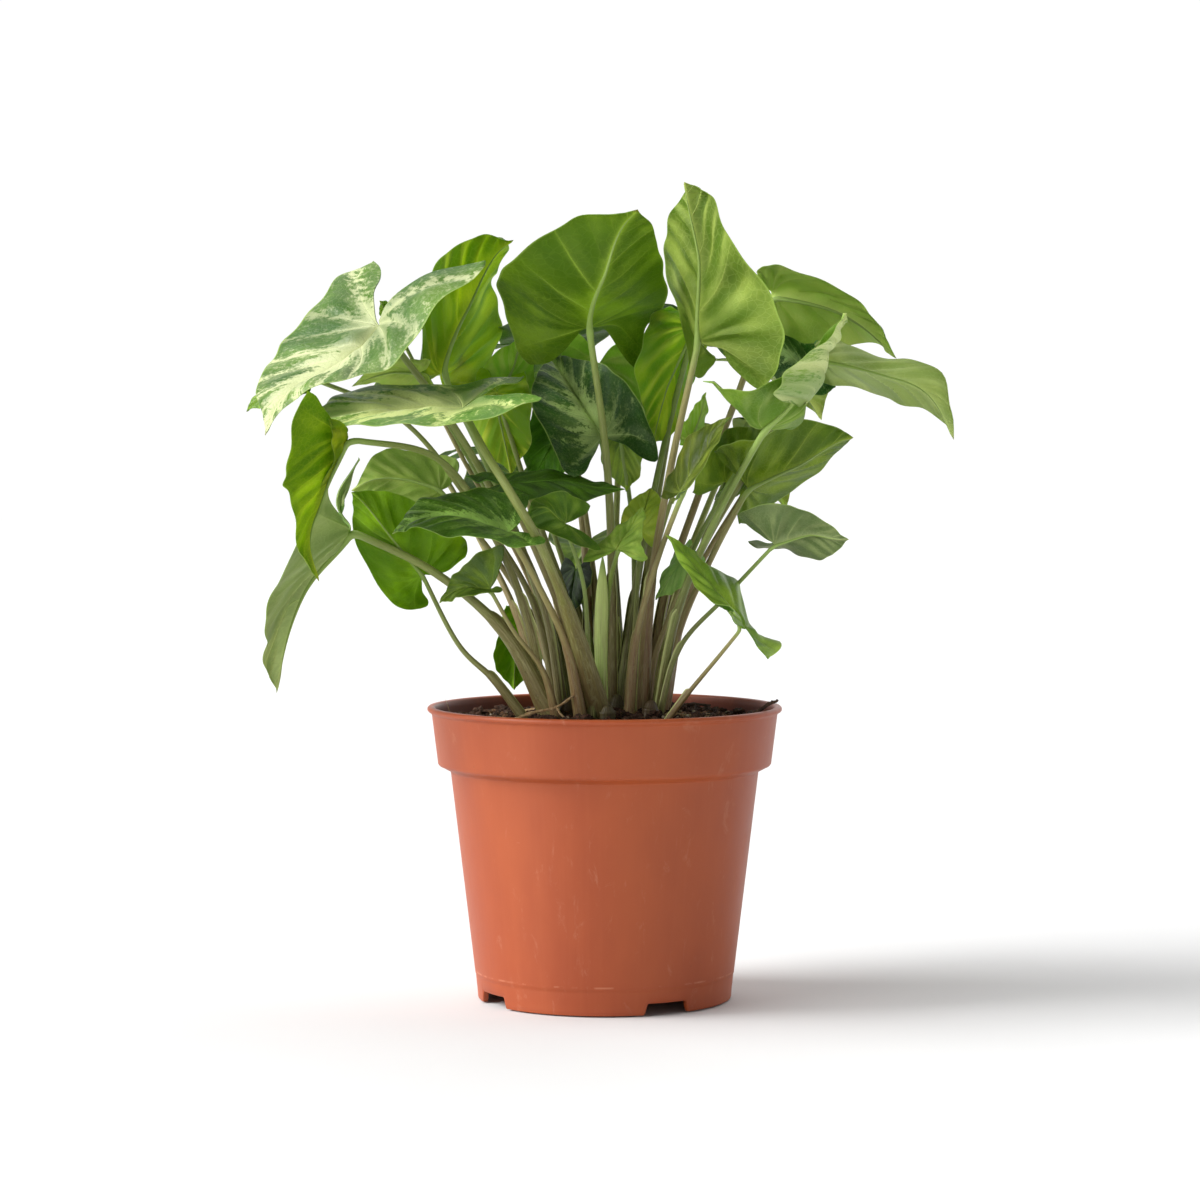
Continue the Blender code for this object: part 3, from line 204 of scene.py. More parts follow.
         foot=(-4.5, 19), stalk=[(-4, 19.5, 112.5), (-6.5, 22, 128.5)]),
    Leaf("leaf_36", "mid", hub=(29, -4, 151), tip=(17, -4, 135), face=(-145, 32), rib=(0, 0, 0),
         left=(9.5, -8, 3, 6.5, -4, 5.5), right=(8.5, -9, 3, 7, 1, 4),
         foot=(14, -2), stalk=[(17, -2.5, 115), (23, -3, 133)]),
    Leaf("leaf_37", "lime", hub=(-2, 26.5, 215), tip=(-2, 48.5, 189), face=(92, 40), rib=(0, -1.5, 0),
         left=(15.5, -21, -7, 16.5, 16, 2.5), right=(17.5, -21, -4, 16, -3, 3),
         foot=(6.5, 24), stalk=[(4, 24.5, 135.5), (1.5, 27.5, 175.5)]),
    Leaf("leaf_38", "mid", hub=(6, 18, 191), tip=(7, 16.5, 171), face=(38, 0), rib=(-0.5, 0, 0),
         left=(10, 0, 7, 12, 14, 5), right=(11.5, 0, 10, 11, -5, 6.5),
         foot=(11.5, 16), stalk=[(10.5, 17.5, 128), (9.5, 17, 159.5)]),
    Leaf("leaf_39", "mid", hub=(-14, 50.5, 226), tip=(-25, 93.5, 203), face=(105, 63), rib=(-0.5, 4, 0),
         left=(23, 9, -2, 20.5, -31, -2), right=(23.5, 9, -1, 21, -30, -1),
         foot=(-6, 22), stalk=[(-6, 28.5, 139.5), (-10, 39, 183)]),
    Leaf("leaf_40", "dark", hub=(30, 44, 232), tip=(48, 82, 214), face=(43, 65), rib=(-0.5, 3, 0),
         left=(21, 10, 2, 19.5, -28, -1.5), right=(22, 10, 0, 19.5, -30, -1),
         foot=(10, 20), stalk=[(14.5, 25.5, 142), (21.5, 34, 187.5)]),
    Leaf("leaf_41", "mid", hub=(-56.5, 53, 214), tip=(-84.5, 78, 194), face=(159, 61), rib=(-1, 3.5, 0),
         left=(20.5, 12, -6, 17, -29, -1.5), right=(22.5, 12, -3, 18, -24, -1),
         foot=(-14, 20.5), stalk=[(-24, 28, 137.5), (-39, 38, 177)]),
    Leaf("leaf_42", "dark", hub=(-30, 62, 176), tip=(-45, 90, 151), face=(118, 52), rib=(0.5, 4, 0),
         left=(19, 12, -1, 16, -34, -2), right=(18.5, 13, -2, 15.5, -34, -2),
         foot=(-10, 26), stalk=[(-15, 34.5, 124.5), (-22, 47.5, 151)]),
    Leaf("leaf_43", "mid", hub=(46, 59, 188), tip=(66, 86, 164), face=(54, 55), rib=(0, 3.5, 0),
         left=(19.5, 12, -3, 17.5, -31, -1), right=(19, 13, -3, 16, -28, -1.5),
         foot=(13, 23.5), stalk=[(21.5, 31.5, 128.5), (33.5, 45, 159)]),
    Leaf("leaf_44", "mid", hub=(58, 47.5, 213), tip=(78, 75, 196), face=(55, 64), rib=(0, 2.5, 0),
         left=(18, 12, -1, 16, -30, -1.5), right=(18, 12, -2, 15.5, -30, -1.5),
         foot=(18.5, 18.5), stalk=[(29, 25, 136.5), (42.5, 30.5, 176.5)]),
    Leaf("leaf_45", "dark", hub=(-58, 41.5, 180), tip=(-85, 56, 162), face=(151, 60), rib=(-0.5, 3, 0),
         left=(17, 12, 0, 14.5, -29, -2), right=(17.5, 12, 0, 15, -28, -1),
         foot=(-20.5, 11), stalk=[(-29.5, 16, 127), (-43, 29, 154)]),
    Leaf("leaf_46", "mid", hub=(6, 64, 206), tip=(7, 99, 179), face=(89, 52), rib=(0.5, 3, 0),
         left=(21, 10, 0, 19, -26, -1), right=(20, 11, -1, 19, -28, -1),
         foot=(1, 27), stalk=[(3, 36, 134), (4.5, 47, 170.5)]),
    Leaf("leaf_47", "mid", hub=(-6, 53, 152), tip=(-11, 79, 140), face=(99, 66), rib=(0, 2, 0),
         left=(14, 15, 0, 13.5, -20, -1), right=(14, 15, 2, 11.5, -15, -1),
         foot=(-1.5, 29), stalk=[(-3, 34.5, 115), (-5, 42, 134.5)]),
]
OUTER_EDGE = [(0.0, 1.0), (0.035, 0.945), (0.095, 0.865), (0.20, 0.73), (0.32, 0.555), (0.425, 0.36),
              (0.49, 0.16), (0.505, -0.04), (0.475, -0.23), (0.415, -0.38), (0.345, -0.465)]
SINUS_EDGE = [(0.0, 0.0), (0.035, -0.07), (0.085, -0.19), (0.16, -0.32), (0.25, -0.42), (0.345, -0.465)]
OUTER_SHARE = 0.70
MARK = {"hub": (0, 0), "tip": (0, 1), "mid": (0, 0.5), "w": (0.50, 0.08), "s": (0.36, 0.48),
        "l": (0.345, -0.465), "i": (0.10, -0.22), "q": (0.20, 0.73), "b": (0.475, -0.23)}


# extra places a blade passes through, for the half-rolled young blade and the folded low one:
# where on the flat blade, then x, y, z in mm
PINS = {
    "leaf_23": [(-0.5, 0.08, 54.2, -52, 204.7), (-0.25, 0.08, 68.3, -38, 202.5), (-0.43, 0.3, 57.3, -55, 208.6), (-0.22, 0.3, 72.0, -42, 209.7), (-0.36, 0.48, 60.7, -57, 213.1), (-0.18, 0.48, 72.8, -45, 216.5), (-0.28, 0.62, 65.9, -58, 218.2), (-0.14, 0.62, 73.9, -48, 219.7), (-0.2, 0.73, 70.0, -59, 222.0), (-0.1, 0.73, 75.0, -51, 222.6), (0.36, 0.48, 63.4, -44, 212.0), (0.2, 0.73, 71.8, -50, 221.3), (0.43, 0.3, 55.8, -46, 207.4), (-0.475, -0.23, 65.4, -20, 198.0), (-0.345, -0.465, 63.3, -16, 193.3)],
    "leaf_30": [(0.505, -0.04, 47.5, -25, 127.6)],
    "leaf_15": [(0.345, -0.465, 31.0, 0, 209.5), (0.475, -0.23, 27.5, 7, 219.0), (0.10, -0.22, 37.5, -9, 217.5)],
}
MARK_ORDER = ["hub", "tip", "mid"] + [a + "1" for a in "wsqbli"] + [a + "2" for a in "wsqbli"]
# fine bending of single blades: sideways and upwards at a mark, mm (1 is the left half, 2 the right)
NUDGE = {
    "leaf_01": {"hub": (0, 0.5), "tip": (0.5, 0), "mid": (0.5, 1), "s1": (1.5, -3), "q1": (-1, 1.5), "b1": (0, 1), "l1": (0.5, -3), "i1": (-2.5, 4.5), "w2": (-0.5, 0), "s2": (0.5, -0.5), "q2": (-1, -0.5), "b2": (-0.5, 2.5), "l2": (0.5, -1), "i2": (-3.5, 0.5)},
    "leaf_02": {"hub": (-0.5, 0), "tip": (-0.5, 0), "mid": (-0.5, 0.5), "w1": (0.5, -0.5), "s1": (-1, -1.5), "q1": (0.5, 0), "b1": (0, -1.5), "l1": (-0.5, -2), "i1": (-0.5, -0.5), "w2": (0.5, 1), "s2": (0, 1), "q2": (1, 3), "b2": (1, 1), "l2": (0.5, 1)},
    "leaf_03": {"hub": (-0.5, 0.5), "tip": (0, 0.5), "mid": (1, 0), "w1": (0.5, 0), "s1": (-3, 0), "q1": (-1, 0), "b1": (0.5, 0), "l1": (-0.5, -0.5), "i1": (-0.5, 2), "w2": (2.5, 0.5), "s2": (-5, 0), "q2": (-2, 0), "b2": (2, 0.5), "i2": (0, 2)},
    "leaf_04": {"hub": (-0.5, 0.5), "tip": (0.5, -0.5), "mid": (1.5, -2.5), "w1": (0.5, -1), "s1": (1.5, 2), "q1": (0, 1), "b1": (0.5, -1.5), "l1": (0.5, 0.5), "w2": (0, 2), "s2": (0, -1), "q2": (-0.5, -2), "b2": (0, 1), "i2": (-0.5, 0.5)},
    "leaf_05": {"mid": (-0.5, -0.5), "w1": (0, 2), "s1": (-0.5, -0.5), "q1": (0, -1.5), "b1": (1.5, -2.5), "l1": (0, 2.5), "i1": (-3.5, -1.5), "w2": (-1.5, -0.5), "s2": (1, 0.5), "q2": (0.5, 2), "b2": (1, -1), "l2": (0.5, 0), "i2": (-4.5, 0.5)},
    "leaf_06": {"hub": (0, 0.5), "tip": (0, -0.5), "mid": (-0.5, 0.5), "w1": (1, -0.5), "s1": (-3, 0.5), "q1": (-2, 0.5), "b1": (0.5, 0), "l1": (-0.5, 1), "i1": (0, 0.5), "w2": (1, 0.5), "s2": (-0.5, 0), "b2": (0.5, 0), "l2": (0, -0.5)},
    "leaf_07": {"hub": (0.5, 0), "mid": (-0.5, 0), "w1": (0.5, 0), "s1": (-1, 1.5), "q1": (-0.5, 0.5), "b1": (0.5, 0), "l1": (0, 0.5), "i1": (0.5, 0), "w2": (0, -0.5), "s2": (-1, 2), "q2": (-0.5, 1), "b2": (-0.5, -0.5), "l2": (-1, 0)},
    "leaf_08": {"tip": (0.5, -0.5), "mid": (0, 1), "w1": (0.5, 0), "s1": (-0.5, -0.5), "l1": (0, 0.5), "w2": (1, -0.5), "s2": (-2, 0.5), "q2": (-1, 0.5), "b2": (1, 0), "l2": (0, 1)},
    "leaf_09": {"mid": (-1, 0), "s1": (0.5, 0), "q1": (0, -0.5), "w2": (-1, 0.5), "s2": (-0.5, 0.5), "q2": (-1, 0), "b2": (-1, 0), "l2": (-0.5, 0), "i2": (-0.5, 0)},
    "leaf_10": {"hub": (0, -0.5), "tip": (0, -0.5), "w1": (0, -0.5), "s1": (0.5, 0), "q1": (0.5, 0), "b1": (0.5, -0.5), "l1": (1, -0.5), "i1": (0.5, -0.5), "w2": (0, 0.5), "s2": (-0.5, -0.5), "q2": (-0.5, -0.5), "i2": (0.5, 0)},
    "leaf_13": {"hub": (-0.5, -0.5), "tip": (-0.5, 0), "mid": (0, -0.5), "w1": (0, 0.5), "s1": (0, -0.5), "q1": (0, -0.5), "b1": (0, 0.5), "l1": (0, 0.5), "w2": (-1, 0), "s2": (0, 0.5), "b2": (-0.5, 0), "l2": (0.5, 0.5), "i2": (-0.5, 0)},
    "leaf_14": {"hub": (0.5, 0), "tip": (0.5, 0), "w1": (2, 0), "s1": (-0.5, -0.5), "q1": (0, 0.5), "b1": (-4.5, 1.5), "l1": (0.5, -2.5), "i1": (3, 3), "w2": (1, 1), "s2": (-1.5, -3), "q2": (2, 2), "b2": (0.5, 1), "l2": (-0.5, -1), "i2": (0.5, -0.5)},
    "leaf_15": {"hub": (0.5, 0), "tip": (-0.5, 0), "mid": (0, -2), "w1": (0, -1.5), "s1": (-1, 1.5), "q1": (-1, 4), "b1": (-1, -0.5), "l1": (-1, 0), "i1": (2.5, 1.5), "w2": (0.5, 1), "s2": (0, -1), "q2": (-0.5, -0.5), "b2": (0, 0.5), "l2": (0, -0.5), "i2": (1.5, 1)},
    "leaf_16": {"hub": (0.5, 0.5), "tip": (0.5, -0.5), "mid": (0, -0.5), "w1": (0, 0.5), "s1": (0, -1), "q1": (0, -1), "b1": (0, 0.5), "l1": (0.5, 0), "i1": (0.5, 0.5), "w2": (-0.5, 0), "s2": (-0.5, -0.5), "q2": (0, -0.5), "l2": (0.5, -0.5), "i2": (0.5, 0)},
    "leaf_17": {"mid": (0, 0.5), "w1": (-0.5, 1), "q1": (0, 1), "b1": (1, 0), "l1": (0, 0.5), "i1": (-1.5, 0.5), "w2": (0.5, 0.5), "s2": (0.5, 0.5), "q2": (0.5, 0.5), "b2": (-1, -0.5), "i2": (0, 1.5)},
    "leaf_18": {"hub": (0, -0.5), "tip": (0, -0.5), "w1": (0, 0.5), "s1": (-1, -1.5), "q1": (-0.5, -0.5), "b1": (0.5, 0.5), "l1": (1, 0), "w2": (1, 0), "s2": (0, -1.5), "q2": (0, -0.5), "b2": (0.5, 0.5), "l2": (-0.5, 0.5)},
    "leaf_19": {"hub": (0.5, 0), "mid": (0.5, 0.5), "w1": (-0.5, 1), "s1": (0, -1.5), "q1": (0.5, -0.5), "b1": (-0.5, 0.5), "l1": (0, -0.5), "i1": (0.5, 0), "w2": (-1, 0), "s2": (0, -1.5), "q2": (0.5, -0.5), "l2": (1, 0), "i2": (0.5, 0)},
    "leaf_21": {"hub": (0, 0.5), "mid": (0, 0.5), "w1": (-1, -0.5), "s1": (0.5, 0.5), "q1": (0, 0.5), "b1": (0, -0.5), "l1": (1, -0.5), "i1": (0.5, 0), "w2": (-1, 0), "s2": (1.5, 0), "q2": (1, 0.5), "b2": (-0.5, -0.5), "l2": (0.5, -0.5), "i2": (0.5, 0)},
    "leaf_22": {"hub": (0, -0.5), "tip": (-0.5, 0.5), "mid": (-0.5, 0.5), "w1": (0, 0.5), "s1": (-0.5, -2), "q1": (0, 0.5), "b1": (-0.5, 0), "l1": (-0.5, -0.5), "i1": (0, -0.5), "w2": (0, 0.5), "s2": (-1, -2), "q2": (2.5, 2), "b2": (0.5, 0.5), "l2": (0.5, 0), "i2": (0, -0.5)},
    "leaf_23": {"hub": (-0.5, -0.5), "tip": (0.5, 0), "mid": (1, 1), "w1": (-0.5, 0), "s1": (0, 1.5), "q1": (0.5, 1), "b1": (0, 0.5), "l1": (0.5, 1), "w2": (-0.5, 0), "s2": (1, -1), "q2": (1, 0), "b2": (-0.5, 0), "i2": (-0.5, -0.5)},
    "leaf_24": {"hub": (0.5, 0), "tip": (0, 0.5), "mid": (0.5, 1.5), "w1": (0, 0.5), "s1": (-1, -1), "q1": (-0.5, 0), "l1": (-0.5, 0), "i1": (0.5, 0.5), "w2": (0, -2), "s2": (-1, 0), "q2": (-0.5, 1), "l2": (0, 2.5), "i2": (0.5, 0.5)},
    "leaf_25": {"hub": (-0.5, 0), "mid": (-2, -0.5), "w1": (-1.5, -1), "s1": (1, 0), "q1": (1.5, 0.5), "b1": (-0.5, -0.5), "l1": (-0.5, -0.5), "w2": (0.5, 0), "s2": (-1, -0.5), "q2": (3, 0), "b2": (0.5, 0)},
    "leaf_26": {"hub": (0, 0.5), "tip": (-0.5, 0), "mid": (0.5, 0.5), "w1": (0.5, 0), "s1": (0.5, 0), "q1": (0.5, 0.5), "i1": (0.5, 0), "w2": (-0.5, 0.5), "s2": (-0.5, 0.5), "q2": (0, 0.5), "l2": (1, 0), "i2": (0.5, 0)},
    "leaf_27": {"tip": (-0.5, 0), "mid": (0, 0.5), "s1": (0, 1), "q1": (0, 0.5), "b1": (0, 0.5), "l1": (0, 1), "w2": (-1, -1.5), "s2": (0.5, 1.5), "q2": (0, 1), "b2": (-0.5, -1), "i2": (0, -0.5)},
    "leaf_28": {"w1": (-0.5, 0), "s1": (-0.5, 0), "b1": (0.5, 0), "l1": (1, 0.5), "w2": (-0.5, 0), "b2": (-0.5, 0), "l2": (-0.5, 0)},
    "leaf_29": {"hub": (-0.5, -0.5), "tip": (0.5, 0.5), "mid": (-0.5, 2), "w1": (-0.5, 0), "s1": (1.5, -1.5), "q1": (1.5, 0), "b1": (-0.5, 0), "l1": (0, 0.5), "i1": (-0.5, 0), "w2": (0, -1.5), "s2": (-0.5, 0), "q2": (1.5, -1), "b2": (-0.5, -0.5), "l2": (-0.5, 1), "i2": (-0.5, 0)},
    "leaf_30": {"hub": (0.5, 0.5), "tip": (0.5, 0), "w1": (-0.5, 0), "s1": (0, -1), "q1": (0, -0.5), "l1": (-0.5, -0.5), "w2": (-2, 1), "s2": (0.5, -0.5), "q2": (0.5, -0.5), "b2": (4.5, -2), "l2": (-2.5, 0.5)},
    "leaf_31": {"hub": (0, 0.5), "tip": (0, 0.5), "mid": (0.5, 0.5), "w1": (0, 0.5), "s1": (0, 0.5), "q1": (0, 0.5), "b1": (0, 0.5), "l1": (0, 0.5), "i1": (0, 0.5), "w2": (0, 0.5), "s2": (0.5, 0.5), "q2": (0.5, 0.5), "b2": (0.5, 0), "l2": (1, 0), "i2": (0.5, 0)},
    "leaf_32": {"hub": (0, -0.5), "mid": (1.5, 0), "w1": (0.5, 0), "s1": (1.5, 0), "q1": (1, 0), "i1": (0, -0.5), "w2": (-1, 0.5), "s2": (0, 0.5), "q2": (0.5, 0.5), "b2": (-0.5, -0.5), "l2": (0, -1), "i2": (0, -0.5)},
    "leaf_33": {"hub": (0.5, 0.5), "tip": (0, -0.5), "w1": (0, 0.5), "s1": (-0.5, 0), "b1": (0.5, 0), "l1": (0.5, -0.5), "i1": (0.5, 0), "w2": (0.5, 1), "s2": (0.5, 0.5), "b2": (0.5, 0.5), "i2": (0.5, 0)},
    "leaf_34": {"hub": (0, -0.5), "tip": (-0.5, -0.5), "w1": (-1, 0.5), "s1": (-1, 0.5), "q1": (-0.5, 0), "b1": (0, -0.5), "l1": (1, -1), "i1": (0.5, -0.5), "w2": (-0.5, 0), "s2": (0, -0.5), "q2": (0, -0.5), "i2": (0, -0.5)},
    "leaf_35": {"tip": (-0.5, 0.5), "s1": (-0.5, 0), "q1": (0, 0.5), "b1": (0.5, 0.5), "l1": (1, 1), "i1": (0.5, 0), "w2": (-0.5, 0), "q2": (0, 0.5), "b2": (-0.5, 0), "l2": (-0.5, 0)},
    "leaf_36": {"hub": (-0.5, 0), "mid": (-0.5, 0.5), "w1": (-0.5, 0), "s1": (-0.5, 0.5), "q1": (-0.5, 0.5), "b1": (0, -0.5), "l1": (1, -0.5), "w2": (-0.5, 0), "s2": (-0.5, 0), "b2": (-0.5, 0), "l2": (0, 0.5)},
    "leaf_37": {"tip": (0.5, -0.5), "mid": (0.5, 0.5), "w1": (-0.5, -0.5), "s1": (-0.5, -1), "q1": (0, -0.5), "b1": (1, 0), "l1": (2, 0), "i1": (0.5, 0), "w2": (-0.5, 0), "s2": (0, -1), "q2": (0.5, -0.5), "b2": (-1, 0), "l2": (-0.5, 0)},
    "leaf_38": {"hub": (0, 0.5), "tip": (0.5, 0), "mid": (0.5, 0), "w1": (-0.5, 0), "s1": (0, -1.5), "q1": (0.5, -0.5), "b1": (-0.5, 0), "l1": (-0.5, 0), "i1": (0, 0.5), "w2": (-0.5, -0.5), "s2": (-0.5, -0.5), "b2": (0.5, 0), "l2": (1.5, 0), "i2": (0.5, 0.5)},
}


def chain(points, where):
    p = np.array(points, float)
    q = np.vstack([2 * p[0] - p[1], p, 2 * p[-1] - p[-2]])
    out = []
    for i in range(len(p) - 1):
        a, b, c, d = q[i], q[i + 1], q[i + 2], q[i + 3]
        for t in np.linspace(0, 1, 25, endpoint=False):
            out.append(0.5 * ((2 * b) + (c - a) * t + (2 * a - 5 * b + 4 * c - d) * t * t
                              + (-a + 3 * b - 3 * c + d) * t ** 3))
    out.append(p[-1])
    out = np.array(out)
    s = np.r_[0, np.cumsum(np.linalg.norm(np.diff(out, axis=0), axis=1))]
    u = (np.linspace(0, 1, where) if np.ndim(where) == 0 else np.asarray(where, float)) * s[-1]
    return np.stack([np.interp(u, s, out[:, c]) for c in range(out.shape[1])], -1)


def plate_spline(flat, space):
    flat = np.asarray(flat, float)
    space = np.asarray(space, float)
    n = len(flat)

    def kernel(r):
        return np.where(r > 0, r * r * np.log(np.maximum(r, 1e-12)), 0)

    k = kernel(np.linalg.norm(flat[:, None] - flat[None], axis=-1))
    p = np.c_[np.ones(n), flat]
    a = np.block([[k, p], [p.T, np.zeros((3, 3))]])
    w = np.linalg.solve(a, np.vstack([space, np.zeros((3, 3))]))

    def bend(q):
        q = np.atleast_2d(np.asarray(q, float))
        r = np.linalg.norm(q[:, None] - flat[None], axis=-1)
        return kernel(r) @ w[:n] + np.c_[np.ones(len(q)), q] @ w[n:]

    return bend


def leaf_marks(leaf):
    hub = np.array(leaf.hub, float)
    tip = np.array(leaf.tip, float)
    length = np.linalg.norm(tip - hub)
    along = (tip - hub) / length
    az, el = math.radians(leaf.face[0]), math.radians(leaf.face[1])
    look = np.array([math.cos(el) * math.cos(az), math.cos(el) * math.sin(az), math.sin(el)])
    up = look - (look @ along) * along
    up /= np.linalg.norm(up)
    across = np.cross(along, up)
    bow, arch, slip = leaf.rib
    shoulder = leaf.shoulder or (0.72, 0.72)
    spread = leaf.spread or (0.69, 0.69)
    notch = leaf.notch or (1.0, 1.0)
    flat = [MARK["hub"], MARK["tip"], MARK["mid"]]
    local = [(0, 0, 0), (0, length, 0), (bow, 0.5 * length + slip, arch)]
    for n, (sign, side) in enumerate(((-1, leaf.left), (1, leaf.right))):
        width, fold, twist, lobe, lobe_twist, sweep = side

        def at(radius, angle, y, share):
            a = math.radians(angle)
            return (sign * radius * math.cos(a) + bow * share, y + slip * share,
                    radius * math.sin(a) + arch * share)

        local += [
            at(width, fold, 0.08 * length + sweep, 0.25),
            at(shoulder[n] * width, fold + twist, 0.48 * length + 0.7 * sweep, 1.0),
            at(0.56 * shoulder[n] * width, fold + 1.5 * twist, 0.73 * length + 0.4 * sweep, 0.8),
            at((0.5 + 0.65 * spread[n]) * width, fold + 0.5 * lobe_twist, -0.5 * lobe + sweep, 0.0),
            at(spread[n] * width, fold + lobe_twist, -lobe + sweep, 0.0),
            at(0.29 * spread[n] * width * notch[n], fold + 0.7 * lobe_twist,
               (-0.47 * lobe + 0.4 * sweep) * notch[n], 0.0),
        ]
        flat += [(sign * MARK[m][0], MARK[m][1]) for m in "wsqbli"]
    space = [hub + x * across + y * along + z * up for x, y, z in local]
    fine = NUDGE.get(leaf.name, {})
    for k, key in enumerate(MARK_ORDER):
        if key in fine:
            space[k] = space[k] + (fine[key][0], 0.0, fine[key][1])
    flat = list(flat)
    for fx, fy, *place in PINS.get(leaf.name, ()):
        if (fx, fy) in [tuple(f) for f in flat]:
            space[[tuple(f) for f in flat].index((fx, fy))] = np.array(place, float)
        else:
            flat.append((fx, fy))
            space.append(np.array(place, float))
    return flat, space, length, up


def soil_z(x, y):
    r = min(math.hypot(x, y) / SOIL_FALL_RADIUS, 1.0)
    return SOIL_CENTRE_Z - SOIL_FALL * r * r


# ------------------------------------------------------------------ colours
def srgb(r, g, b):
    def lin(c):
        c /= 255.0
        return c / 12.92 if c <= 0.04045 else ((c + 0.055) / 1.055) ** 2.4
    return (lin(r), lin(g), lin(b), 1.0)


# ------------------------------------------------------------------ node helper
class Nodes:
    def __init__(self, mat):
        mat.use_nodes = True
        self.nt = mat.node_tree
        self.nt.nodes.clear()

    def new(self, kind, **props):
        n = self.nt.nodes.new(kind)
        for k, v in props.items():
            setattr(n, k, v)
        return n

    def put(self, sock, v):
        if isinstance(v, bpy.types.NodeSocket):
            self.nt.links.new(v, sock)
        elif v is not None:
            sock.default_value = v

    def m(self, op, a, b=None, c=None, clamp=False):
        n = self.new("ShaderNodeMath", operation=op, use_clamp=clamp)
        for i, v in enumerate((a, b, c)):
            if v is not None:
                self.put(n.inputs[i], v)
        return n.outputs[0]

    def mix(self, fac, a, b, mode="MIX"):
        n = self.new("ShaderNodeMix", data_type="RGBA", blend_type=mode)
        n.clamp_factor = True
        self.put(n.inputs[0], fac)
        self.put(n.inputs[6], a)
        self.put(n.inputs[7], b)
        return n.outputs[2]

    def step(self, x, lo, hi, a=0.0, b=1.0):
        n = self.new("ShaderNodeMapRange", interpolation_type="SMOOTHSTEP")
        self.put(n.inputs[0], x)
        for i, v in enumerate((lo, hi, a, b)):
            n.inputs[1 + i].default_value = v
        return n.outputs[0]

    def noise(self, vec, scale, detail=2.0, rough=0.5, dist=0.0):
        n = self.new("ShaderNodeTexNoise")
        self.put(n.inputs["Vector"], vec)
        n.inputs["Scale"].default_value = scale
        n.inputs["Detail"].default_value = detail
        n.inputs["Roughness"].default_value = rough
        n.inputs["Distortion"].default_value = dist
        return n.outputs["Fac"]

    def voronoi(self, vec, scale, feature="F1", rnd=1.0):
        n = self.new("ShaderNodeTexVoronoi", feature=feature)
        self.put(n.inputs["Vector"], vec)
        n.inputs["Scale"].default_value = scale
        n.inputs["Randomness"].default_value = rnd
        return n

    def attr(self, name):
        return self.new("ShaderNodeAttribute", attribute_name=name)

    def xyz(self, vec):
        n = self.new("ShaderNodeSeparateXYZ")
        self.put(n.inputs[0], vec)
        return n.outputs

    def comb(self, x, y, z):
        n = self.new("ShaderNodeCombineXYZ")
        for i, v in enumerate((x, y, z)):
            self.put(n.inputs[i], v)
        return n.outputs[0]

    def bump(self, height, strength, distance, normal=None):
        n = self.new("ShaderNodeBump")
        self.put(n.inputs["Height"], height)
        n.inputs["Strength"].default_value = strength
        n.inputs["Distance"].default_value = distance
        if normal is not None:
            self.put(n.inputs["Normal"], normal)
        return n.outputs[0]

    def principled(self, colour, rough, normal=None, spec=0.5, sheen=0.0, coat=0.0, coat_rough=0.3):
        n = self.new("ShaderNodeBsdfPrincipled")
        self.put(n.inputs["Base Color"], colour)
        self.put(n.inputs["Roughness"], rough)
        n.inputs["Specular IOR Level"].default_value = spec
        n.inputs["Sheen Weight"].default_value = sheen
        n.inputs["Coat Weight"].default_value = coat
        n.inputs["Coat Roughness"].default_value = coat_rough
        if normal is not None:
            self.put(n.inputs["Normal"], normal)
        return n

    def out(self, shader):
        n = self.new("ShaderNodeOutputMaterial")
        self.nt.links.new(shader, n.inputs["Surface"])


GLOW = 0.32                 # how far light coming through a blade turns yellow-green

# ------------------------------------------------------------------ vein layout of a blade (flat coordinates)
VEIN_STEP = 0.175
VEIN_FAN = math.radians(27.0)


def vein_fields(x, y):
    """Distance to the nearest side vein, and the along-vein coordinate, on the flat blade."""
    ax = np.abs(x)
    lift = 0.42 * ax + 0.30 * ax * ax
    s = (y - lift) / (1 + 1.9 * ax)
    up = np.abs(((s / VEIN_STEP + 0.5) % 1.0) - 0.5) * VEIN_STEP
    yy = lift - y
    ang = np.arctan2(yy, ax + 1e-6)
    rad = np.hypot(ax, yy)
    low = np.abs(((ang / VEIN_FAN + 0.5) % 1.0) - 0.5) * VEIN_FAN * rad
    return np.where(s >= 0, up, low), s


